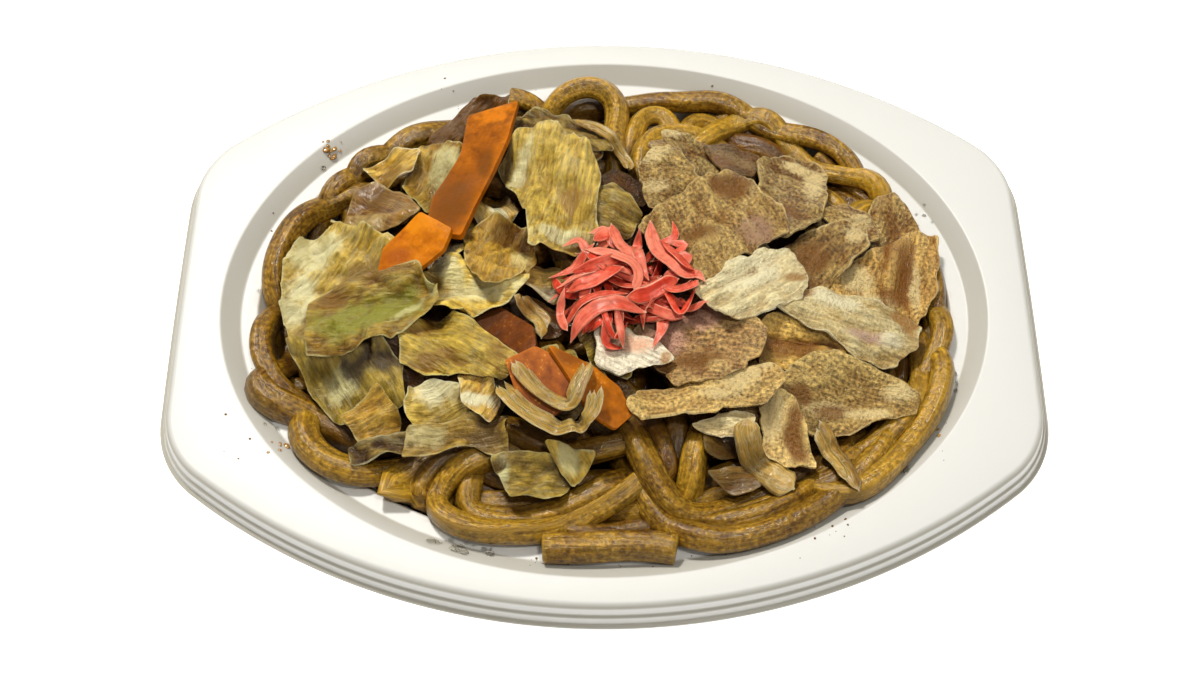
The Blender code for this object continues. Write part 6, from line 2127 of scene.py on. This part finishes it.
        # The outlines were taken from the picture, where what lies higher looks further away.
        border[:, 1] -= self.parallax * float((settled - level)[depth > 0].mean())
        part, depth, settled = self.settle(sheet, border, seed)
        shape = self.flat_mesh(border, sheet.grain)
        places = places_of(shape.verts)
        x, y = places[:, 0], places[:, 1]
        distance, outward = border_distance(border[:, :2], x, y)
        distance = np.clip(distance, 0, None)
        inner = np.clip(distance / (0.8 * form.thickness), 0, 1) ** 0.5
        half = 0.5 * form.thickness * (form.blunt + (1 - form.blunt) * inner)
        z = self.surface.read(settled, x, y, part) + 0.5 * form.thickness
        angle = 0.5 * form.curl * (0.5 + 0.5 * ripple(x, y, 9.0, seed + 600))
        radius = np.full(len(x), 2.5)
        for curl in sheet.curls:
            close = np.exp(-(((x - curl.x) ** 2 + (y - curl.y) ** 2) / (0.6 * curl.reach) ** 2))
            angle = angle * (1 - close) + math.radians(curl.angle) * close
            radius = radius * (1 - close) + curl.radius * close
        roll = np.clip(radius * angle - distance, 0, None)
        shift = radius * np.sin(roll / radius) - roll
        z += radius * (1 - np.cos(roll / radius))
        for vert, *spot in zip(shape.verts, x + outward[:, 0] * shift, y + outward[:, 1] * shift, z):
            vert.co = spot
        self.thicken(sheet, shape, half, distance, (x, y), seed)
        heights = self.surface.heights[part]
        top = settled + form.thickness
        self.surface.heights[part] = np.where(depth > -0.3, np.maximum(heights, top), heights)
        name = "topping_" + sheet.name
        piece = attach(place(name, mesh_of(name, shape), material), "root")
        piece.data.set_sharp_from_angle(angle=math.radians(self.sharpest))
        return piece

    def settle(self, sheet: Sheet, border: np.ndarray, seed: int) -> tuple[tuple, np.ndarray, np.ndarray]:
        """Heights of a topping's underside, with its waves.

        Args:
            sheet: the topping.
            border: rows of x, y and lift.
            seed: sets its waves.

        Returns:
            Slices of the grid, distances inside the outline there, and heights there.
        """
        part = self.surface.window(border[:, 0], border[:, 1], 3.0)
        x, y = self.surface.x[part], self.surface.y[part]
        depth = border_distance(border[:, :2], x.ravel(), y.ravel())[0].reshape(x.shape)
        near = 1 / (np.hypot(x[..., None] - border[:, 0], y[..., None] - border[:, 1]) + 0.5) ** 3
        lift = (near * border[:, 2]).sum(2) / near.sum(2)
        least, laid = self.drape(part, depth, sheet.form.stiff)
        relief = self.relief(sheet, x, y, depth, seed)
        ceiling = self.surface.heap.top(x, y)
        over = np.maximum(laid + lift - ceiling - self.headroom, 0) * (1 - sheet.form.stiff)
        level = laid + lift - over + 2 * np.tanh(over / 2)
        return part, depth, np.maximum(least, level + relief - 0.6 * relief[depth > 0].mean())

    def thicken(
        self,
        sheet: Sheet,
        shape: bmesh.types.BMesh,
        half: np.ndarray,
        distance: np.ndarray,
        spot: tuple[np.ndarray, np.ndarray],
        seed: int,
    ) -> None:
        """Turn a bent sheet without thickness into a closed slice that carries its marks.

        Args:
            sheet: the topping.
            shape: the sheet.
            half: half the thickness at each vertex, in mm.
            distance: distance to the edge at each vertex, in mm.
            spot: x and y of each vertex in plan.
            seed: moves the pattern, so that no two pieces share it.
        """
        number = shape.verts.layers.int.new("number")
        x, y = spot
        along, across = along_and_across(x, y, math.radians(sheet.grain))
        ridge = self.ridges(shape)
        # The tone rises on ridges and falls in valleys: painted light and painted shade that follow the
        # folds.
        values = {"edge": distance, "tone": sheet.tone + 0.55 * ridge, "hollow": np.zeros(len(x))}
        values.update({mark.value: share for mark, share in self.marks(sheet, x, y).items()})
        # Sauce runs off the ridges and stays in the valleys; the brown in the valleys is also painted shade.
        stain = values[Mark.BROWN.value]
        stain = stain - 0.25 * ridge * (stain > 0) - 0.5 * np.minimum(ridge + 0.2, 0)
        values[Mark.BROWN.value] = np.clip(stain, 0, 1.2)
        layers = {name: shape.verts.layers.float.new(name) for name in values}
        flat = shape.verts.layers.float_vector.new("flat")
        for i, vert in enumerate(shape.verts):
            vert[number] = i
            vert[flat] = Vector((along[i] * MM, across[i] * MM, seed * 0.05))
            for name, layer in layers.items():
                vert[layer] = values[name][i]
        shape.normal_update()
        normals = np.array([tuple(v.normal) for v in shape.verts])
        if normals[:, 2].mean() < 0:
            bmesh.ops.reverse_faces(shape, faces=shape.faces)
            normals = -normals
        middle = places_of(shape.verts)
        made = bmesh.ops.extrude_face_region(shape, geom=list(shape.faces), use_keep_orig=True)["geom"]
        raised = set(only(bmesh.types.BMVert, made))
        for vert in shape.verts:
            i = vert[number]
            vert.co = Vector(middle[i] + (1 if vert in raised else -1) * half[i] * normals[i])
        bmesh.ops.recalc_face_normals(shape, faces=shape.faces)

    def ridges(self, shape: bmesh.types.BMesh) -> np.ndarray:
        """How far each place of a sheet stands over the places round it.

        Args:
            shape: the sheet, with numbered vertices.

        Returns:
            From -1 in a valley to 1 on a ridge.
        """
        shape.verts.index_update()
        pairs = np.array([[v.index for v in edge.verts] for edge in shape.edges])
        height = np.array([v.co.z for v in shape.verts])
        level = height.copy()
        count = np.ones(len(height))
        np.add.at(count, pairs.ravel(), 1)
        for _ in range(self.ridge_rounds):
            total = level.copy()
            np.add.at(total, pairs[:, 0], level[pairs[:, 1]])
            np.add.at(total, pairs[:, 1], level[pairs[:, 0]])
            level = total / count
        return np.clip((height - level) / self.ridge_height, -1, 1)

    def marks(self, sheet: Sheet, x: np.ndarray, y: np.ndarray) -> dict:
        """How much of each mark every place takes.

        Args:
            sheet: the topping.
            x, y: places in mm.

        Returns:
            An array from 0 to 1 for each mark.
        """
        found = {}
        for mark in Mark:
            found[mark] = np.zeros(len(x))
            for at_x, at_y, length, width, *turned in getattr(sheet, mark.name.lower()):
                along, across = along_and_across(x - at_x, y - at_y, math.radians(sum(turned)))
                share = np.clip(1.5 - np.hypot(along / length, across / width), 0, 1)
                found[mark] = np.maximum(found[mark], share)
        return found

    def scraps(self) -> list[bpy.types.Object]:
        """Lay small torn bits among the noodles, which show between the large pieces.

        Returns:
            The bits.
        """
        draw = random.Random(SEED + 5)
        inside = np.hypot(self.surface.x / self.scrap_reach[0], self.surface.y / self.scrap_reach[1]) < 1
        covered = np.argwhere((self.surface.cover > self.scrap_cover) & inside)
        materials = [finish.material("scraps") for _, finish in SCRAP_KINDS]
        made = []
        for number in range(self.scrap_count):
            i, j = covered[draw.randrange(len(covered))]
            x, y = self.surface.xs[i], self.surface.ys[j]
            # Cabbage lies on the left, and pork and onion on the right.
            kind = draw.randrange(4) if x < draw.uniform(-10, 30) else draw.randrange(3, len(SCRAP_KINDS))
            corners = draw.randrange(5, 8)
            turn, long = draw.uniform(0, math.pi), draw.uniform(*self.scrap_length)
            wide = long * draw.uniform(*self.scrap_width)
            points = []
            for k in range(corners):
                angle = 2 * math.pi * (k + draw.uniform(-0.3, 0.3)) / corners
                u, v = long * math.cos(angle), wide * math.sin(angle)
                corner_x = x + u * math.cos(turn) - v * math.sin(turn)
                points.append((corner_x, y + u * math.sin(turn) + v * math.cos(turn)))
            cut, finish = SCRAP_KINDS[kind]
            sheet = Sheet(f"scrap_{number}", cut, tuple(points), finish, grain=draw.uniform(-90, 90))
            made.append(self.build_sheet(sheet, 2000 + 7 * number, materials[kind]))
        return made

    def build(self) -> list[bpy.types.Object]:
        """Build the scraps and then every topping in turn.

        Returns:
            The toppings.
        """
        made = self.scraps()
        for number, sheet in enumerate(SHEETS):
            piece = self.build_sheet(sheet, 11 * (number + 1), sheet.finish.material(sheet.name))
            made.append(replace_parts(piece, sheet.name))
        return made


# Onion strips. Those that have come apart lie as several threads.
ONION_STRIPS = (
    Strand(
        "onion_inner_arc", ((-24, -31, -1), (-17, -39), (-9, -43), (-6, -37), (-5, -32, -1)), 2.6, 0.4, 0.7,
        threads=3, cup=0.12,
    ),
    Strand(
        "onion_outer_arc", ((-28, -35, -1), (-22, -43), (-12, -48), (-4, -46), (-2, -39, -1)), 3.2, 0.4,
        0.8, threads=4, cup=0.12,
    ),
    Strand("onion_pale_curl", ((38, -44), (38, -49), (44, -55), (50, -60)), 2.5, 0.8, 1.3),
    Strand("onion_right_strand", ((57, -42), (61, -48), (64, -54), (66, -62)), 3.0, 0.6, 0.45, threads=2),
    Strand("onion_rib", ((-9, 57), (-1, 50), (6, 43), (8, 35)), 2.2, 0.6, 0.6, threads=3),
    Strand("onion_left_of_ginger", ((-24, -11), (-18, -14), (-16, -21)), 2.6, 0.6, 0.6, threads=2),
)

# Ginger shreds that show whole, in the order in which they lie.
GINGER_SHREDS = (
    Strand("reach_left", ((-15, -1), (-8, 1), (-3, 7)), 1.7, 0.5, cup=0.3),
    Strand("far_leaf", ((-3, 10), (1, 14), (4, 8)), 1.8, 0.45, 0.6, cup=0.3),
    Strand("left_blade", ((-10, -7), (-3, -6), (5, -1)), 2.3, 0.5, 0.35, cup=0.4),
    Strand("mid_blade", ((-9, -2), (-1, 0), (6, 4)), 1.9, 0.5, 0.3, cup=0.4),
    Strand("far_spike", ((2, 17), (4, 9), (9, 1)), 1.7, 0.5, 0.6, cup=0.4),
    Strand("far_upright", ((10, 15), (9, 6), (12, -4)), 1.6, 0.5, 0.7, cup=0.4),
    Strand("right_ribbon", ((13, 18), (14, 9), (19, 1), (27, -8)), 2.0, 0.45, 0.8, cup=0.35),
    Strand("right_under", ((16, 10), (20, 3), (24, -4)), 1.4, 0.4, 0.2, cup=0.3),
    Strand("near_arc", ((-9, -22), (-5, -17), (2, -14), (11, -15)), 2.0, 0.6, 0.55, cup=0.4),
    Strand("near_second", ((-12, -17), (-4, -12), (6, -10)), 1.8, 0.5, 0.4, cup=0.35),
    Strand("right_blade", ((6, -12), (13, -9), (20, -5)), 2.1, 0.5, 0.3, cup=0.4),
    Strand("left_edge", ((-11, -7), (-12, -13), (-10, -20)), 1.2, 0.4, 0.7, cup=0.3),
    Strand("pale_hook", ((-5, 5), (2, 3), (9, -1), (8, -9)), 1.3, 0.45, 1.3, cup=0.3),
    Strand("near_tail", ((3, -14), (4, -19), (5, -25)), 1.1, 0.4, 0.8),
)


@dataclass
class Strips:
    """Flat strips that lie on the food: onion, and the ginger in its little heap."""

    surface: Surface
    sides: int = 12
    ring_spacing: float = 1.1
    # The threads of an onion strip: distance and width over an even share of the strip's width, how much
    # higher each next one lies, and by how many mm and in bends of what size they wander.
    thread_gap: float = 1.3
    thread_width: tuple[float, float] = (1.15, 1.5)
    thread_rise: float = 0.45
    thread_wander: tuple[float, float] = (0.7, 8.0)
    ginger_middle: tuple[float, float] = (5.0, -4.0)
    ginger_reach: tuple[float, float] = (15.0, 14.0)
    # Past this oval a shred turns back.
    ginger_edge: tuple[float, float] = (19.0, 18.0)
    ginger_count: int = 64
    # A seeded shred has four points this far apart, turns by up to this angle at each and has these half
    # widths and half thicknesses.
    shred_step: tuple[float, float] = (3.5, 6.5)
    shred_bend: float = 0.9
    shred_width: tuple[float, float] = (0.8, 1.7)
    shred_thickness: tuple[float, float] = (0.35, 0.5)

    def lay(self, strand: Strand, below: np.ndarray, stiffness: int = 8) -> np.ndarray:
        """Lay a strip on a surface.

        Args:
            strand: the strip.
            below: heights on the grid.
            stiffness: how many times its heights are evened out.

        Returns:
            Rows of x, y and z.
        """
        x, y, lift = smooth_curve(strand.points, 1.0).T
        part = self.surface.window(x, y, 6.0)
        high = self.surface.rolled(below[part], 0.75 * strand.half_width, flat=True)
        least = self.surface.read(high, x, y, part) + strand.half_thickness + 0.5 * GAP
        return np.stack([x, y, evened(least, stiffness) + lift], axis=1)

    def build_onion(self) -> list[bpy.types.Object]:
        """Build the onion strips.

        Returns:
            The strips.
        """
        made = []
        draw = random.Random(SEED + 3)
        material = ONION.material("strips")
        for number, strand in enumerate(ONION_STRIPS):
            path = self.lay(strand, self.surface.heights)
            batch = TubeBatch(self.sides, self.ring_spacing)
            across = np.cross(np.gradient(path, axis=0), (0.0, 0.0, 1.0))
            across /= np.linalg.norm(across, axis=1)[:, None]
            width = strand.half_width / strand.threads
            for k in range(strand.threads):
                # The threads of a strip lie side by side, wander across each other and end unevenly.
                wander = self.thread_wander[0] * ripple(*path.T[:2], self.thread_wander[1], number + 9 * k)
                off = self.thread_gap * width * (k - (strand.threads - 1) / 2) + wander
                thread = path + across * off[:, None] + (0.0, 0.0, self.thread_rise * k)
                first, last = draw.randint(0, 4), draw.randint(0, 4)
                thread = thread[first : len(thread) - last] if strand.threads > 1 else path
                wide = draw.uniform(*self.thread_width) * width
                sized = replace(strand, half_width=wide, tone=strand.tone + 0.25 * (k % 2))
                batch.add(thread, sized, 7 * number + k, roll=draw.uniform(-0.3, 0.3), taper=1.8)
            self.surface.stamp(path, strand.half_width, strand.half_thickness)
            piece = batch.build("strip_" + strand.name, material)
            made.append(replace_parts(piece, strand.name))
        return made

    def loose_shreds(self) -> list[Strand]:
        """Seeded shreds that fill the ginger's heap below the ones that show whole.

        Returns:
            The shreds.
        """
        draw = random.Random(SEED + 1)
        shreds = []
        for _ in range(self.ginger_count):
            around, out = draw.uniform(0, 2 * math.pi), 0.85 * math.sqrt(draw.uniform(0, 1))
            x = self.ginger_middle[0] + self.ginger_reach[0] * out * math.cos(around)
            y = self.ginger_middle[1] + self.ginger_reach[1] * out * math.sin(around)
            heading = draw.uniform(0, 2 * math.pi)
            step = draw.uniform(*self.shred_step)
            bend = draw.uniform(-self.shred_bend, self.shred_bend)
            points = []
            for k in range(4):
                points.append((x, y, draw.uniform(0, 1.2) if k in (1, 2) else 0.0))
                heading += bend + draw.uniform(-0.25, 0.25)
                x, y = x + step * math.cos(heading), y + step * math.sin(heading)
                far_x, far_y = x - self.ginger_middle[0], y - self.ginger_middle[1]
                if math.hypot(far_x / self.ginger_edge[0], far_y / self.ginger_edge[1]) > 1:
                    heading += math.pi / 2
            sizes = (draw.uniform(*self.shred_width), draw.uniform(*self.shred_thickness))
            shreds.append(Strand("shred", tuple(points), *sizes, tone=draw.uniform(0, 1.1), cup=0.35))
        return shreds

    def build_ginger(self) -> bpy.types.Object:
        """Build the ginger's heap.

        Returns:
            The ginger.
        """
        draw = random.Random(SEED + 2)
        below = self.surface.heights.copy()
        batch = TubeBatch(self.sides, self.ring_spacing)
        for number, strand in enumerate(self.loose_shreds() + list(GINGER_SHREDS)):
            # A shred sinks a little among the others, but clears the other food.
            sunk = np.where(self.surface.heights > below, self.surface.heights - 0.75, below)
            path = self.lay(strand, np.maximum(below, sunk), stiffness=12)
            self.surface.stamp(path, strand.half_width, strand.half_thickness)
            batch.add(path, strand, number + 40, draw.uniform(-0.7, 0.7), draw.uniform(3.0, 9.0))
        piece = batch.build("ginger_shreds", GINGER.material("shreds"))
        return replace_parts(piece, "ginger")


@dataclass(frozen=True)
class DropFinish:
    """Clear water and oil: bright at its rim, otherwise seen only by its glint."""

    roughness: float = 0.04

    def material(self) -> bpy.types.Material:
        """Build the material.

        Returns:
            The drops' material.
        """
        material, node = new_material("water with oil, clear drops")
        look = {"Base Color": linear("FBFAF4"), "Roughness": self.roughness, "IOR": 1.36}
        shader = node("BsdfPrincipled", look | {"Transmission Weight": 1.0})
        node("OutputMaterial", {"Surface": shader})
        return material


# Where something fell on the tray: middle, half sizes of the place and how many. All in mm.
CLEAR_SPILLS = (
    *((-91, -36, 2.5, 4, 7), (81, -50, 3.5, 3, 9), (94, 30, 3, 5, 6), (-85, 48, 1.5, 1.5, 2)),
    *((-38, -74, 9, 2.5, 22), (97, -20, 2, 12, 6), (-98, 14, 1.5, 12, 4)),
)
SAUCE_SPILLS = ((-82, 53, 3.2, 2.4, 18), (-88, -44, 3, 4, 6), (90, -42, 2, 5, 5))
CRUMB_SPILLS = (
    *((-15, -78, 6, 1.5, 16), (-48, 79, 1, 1, 2), (-45, 70, 1, 1, 2), (92, -35, 4, 16, 12)),
    *((60, -70, 6, 3, 8), (-97, 5, 3, 30, 9), (20, -78, 40, 2, 10), (0, 76, 50, 2, 6)),
    (-100, -40, 5, 12, 4),
)


@dataclass
class Spills:
    """Drops of water and sauce and crumbs of food on the tray's wall, ledge and rim."""

    tray: Tray
    clear: tuple[float, float] = (0.5, 1.9)
    sauce: tuple[float, float] = (0.35, 1.3)
    crumb: tuple[float, float] = (0.15, 0.4)
    round_parts: tuple[int, int] = (12, 6)

    def scatter(
        self, name: str, rows: tuple, sizes: tuple, flatness: float, finish: Any
    ) -> bpy.types.Object:
        """Set down many flat drops as one mesh.

        Args:
            name: the piece's name.
            rows: where they lie and how many.
            sizes: smallest and largest radius in mm.
            flatness: height over radius.
            finish: their finish.

        Returns:
            The piece.
        """
        draw = random.Random(SEED + len(rows))
        shape = bmesh.new()
        for x, y, length, width, count in rows:
            for _ in range(count):
                radius = sizes[0] + (sizes[1] - sizes[0]) * draw.random() ** 2.5
                spot = np.array([x + length * draw.uniform(-1, 1), y + width * draw.uniform(-1, 1)])
                z = float(self.tray.surface_height(*spot))
                size = (radius, radius * draw.uniform(0.6, 1.0), radius * flatness)
                turn = Euler((0, 0, draw.uniform(0, 3)))
                lying = Matrix.LocRotScale(Vector((*spot, z)), turn, Vector(size))
                u, v = self.round_parts
                bmesh.ops.create_uvsphere(shape, u_segments=u, v_segments=v, radius=1.0, matrix=lying)
        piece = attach(place(name, mesh_of(name, shape), finish.material()), "root")
        return piece

    def build(self) -> list[bpy.types.Object]:
        """Build the drops and the crumbs.

        Returns:
            The pieces.
        """
        thin = SauceFinish("sauce, thin drops", "8A5C22", "B88C4A", 0.15)
        dry = SauceFinish("sauce, crumbs", "4A3014", "8A6430", 0.5)
        return [
            self.scatter("spill_clear", CLEAR_SPILLS, self.clear, 0.35, DropFinish()),
            self.scatter("spill_sauce", SAUCE_SPILLS, self.sauce, 0.2, thin),
            self.scatter("spill_crumbs", CRUMB_SPILLS, self.crumb, 0.6, dry),
        ]


def shade_hollows(pieces: list[bpy.types.Object], surface: Surface) -> None:
    """Write into every piece of food how far its places lie below the food round them, for painted shade
    there.

    Args:
        pieces: the food.
        surface: the heights with all the food on them.
    """
    levels = []
    for reach in (4, 12):
        level = surface.heights
        shifts = range(-reach, reach + 1)
        for axis in (0, 1):
            level = sum(np.roll(level, shift, axis=axis) for shift in shifts) / len(shifts)
        levels.append(level)
    for piece in pieces:
        layer = piece.data.attributes.get("hollow")
        if layer is None:
            continue
        spots = np.empty(len(piece.data.vertices) * 3, np.float32)
        piece.data.vertices.foreach_get("co", spots)
        x, y, z = spots.reshape(-1, 3).T / MM
        near, wide = (surface.read(level, x, y) - z for level in levels)
        # Places below the food round them get painted shade.
        hollow = 0.7 * np.clip((near + 0.2) / 2.5, 0, 1) + 0.7 * np.clip((wide - 0.5) / 6.0, 0, 1)
        layer.data.foreach_set("value", hollow.astype(np.float32))


# ---------------------------------------------------------------- studio


@dataclass
class Studio:
    """Plain pale floor, soft light and the camera at the photograph's angle. Sizes in metres."""

    elevation: float = 61.0
    distance: float = 0.472
    target: tuple[float, float, float] = (-0.0012, -0.0125, 0.039)
    lens: float = 50.52
    floor_half: float = 3.0
    floor_colour: str = "F6F6F4"
    sky_strength: float = 0.22
    light_colour: tuple[float, float, float] = (1.0, 0.965, 0.87)

    def build(self) -> None:
        """Add the floor, the lights and the camera."""
        bpy.context.scene.view_settings.view_transform = "Standard"
        self.add_floor()
        self.add_sky()
        self.add_light("window", (-0.42, 0.72, 1.5), 0.18, 22.5)
        self.add_light("ceiling", (0.25, -0.3, 1.3), 0.1, 5.2)
        angle = math.radians(self.elevation)
        back = Vector((0.0, -math.cos(angle), math.sin(angle)))
        data = bpy.data.cameras.new("camera")
        data.lens = self.lens
        data.sensor_width = 36.0
        data.clip_start = 0.01
        bpy.context.scene.camera = self.aim("camera", data, Vector(self.target) + back * self.distance)

    def add_floor(self) -> None:
        """Add the floor just below the tray."""
        shape = bmesh.new()
        bmesh.ops.create_grid(shape, x_segments=2, y_segments=2, size=self.floor_half / MM)
        material, node = new_material("paper, matt white")
        look = {"Base Color": linear(self.floor_colour), "Roughness": 0.9}
        glow = {"Emission Color": (1.0, 1.0, 1.0, 1.0), "Emission Strength": 0.75}
        node("OutputMaterial", {"Surface": node("BsdfPrincipled", look | glow)})
        place("floor", mesh_of("floor", shape), material)

    def add_sky(self) -> None:
        """Add the even light from all round."""
        world = bpy.data.worlds.new("studio")
        world.use_nodes = True
        world.node_tree.nodes.clear()
        node = partial(add_node, world.node_tree)
        light = node("Background", {"Color": (*self.light_colour, 1.0), "Strength": self.sky_strength})
        node("OutputWorld", {"Surface": light})
        bpy.context.scene.world = world

    def add_light(self, name: str, at: tuple, size: float, power: float) -> None:
        """Add a soft square light that faces the dish.

        Args:
            name: its name.
            at: its place in metres.
            size: its side in metres.
            power: in watts.
        """
        data = bpy.data.lights.new(name, "AREA")
        data.size = size
        data.energy = power
        data.color = self.light_colour
        self.aim(name, data, Vector(at))

    def aim(self, name: str, data: Any, at: Vector) -> bpy.types.Object:
        """Set up a light or the camera so that it faces the dish.

        Args:
            name: its name.
            data: the light or the camera.
            at: its place in metres.

        Returns:
            Its object.
        """
        made = bpy.data.objects.new(name, data)
        made.location = at
        made.rotation_euler = (Vector(self.target) - at).to_track_quat("-Z", "Y").to_euler()
        bpy.context.scene.collection.objects.link(made)
        return made


def main() -> None:
    """Build the dish from the tray up, then the studio."""
    logging.basicConfig(level=logging.INFO, format="%(message)s")
    tray = Tray()
    surface = Surface(tray, Heap())
    made = [tray.build()]
    toppings = Toppings(surface)
    surface.sink_below([toppings.outline(sheet, 0) for sheet in SHEETS], 6.0, 4)
    made += NoodleHeap(tray, surface).build()
    made += toppings.build()
    strips = Strips(surface)
    made += strips.build_onion()
    made.append(strips.build_ginger())
    shade_hollows(made, surface)
    made += Spills(tray).build()
    Studio().build()
    for piece in made:
        LOG.info("%s: %d faces", piece.name, len(piece.data.polygons))


if __name__ == "__main__":
    main()
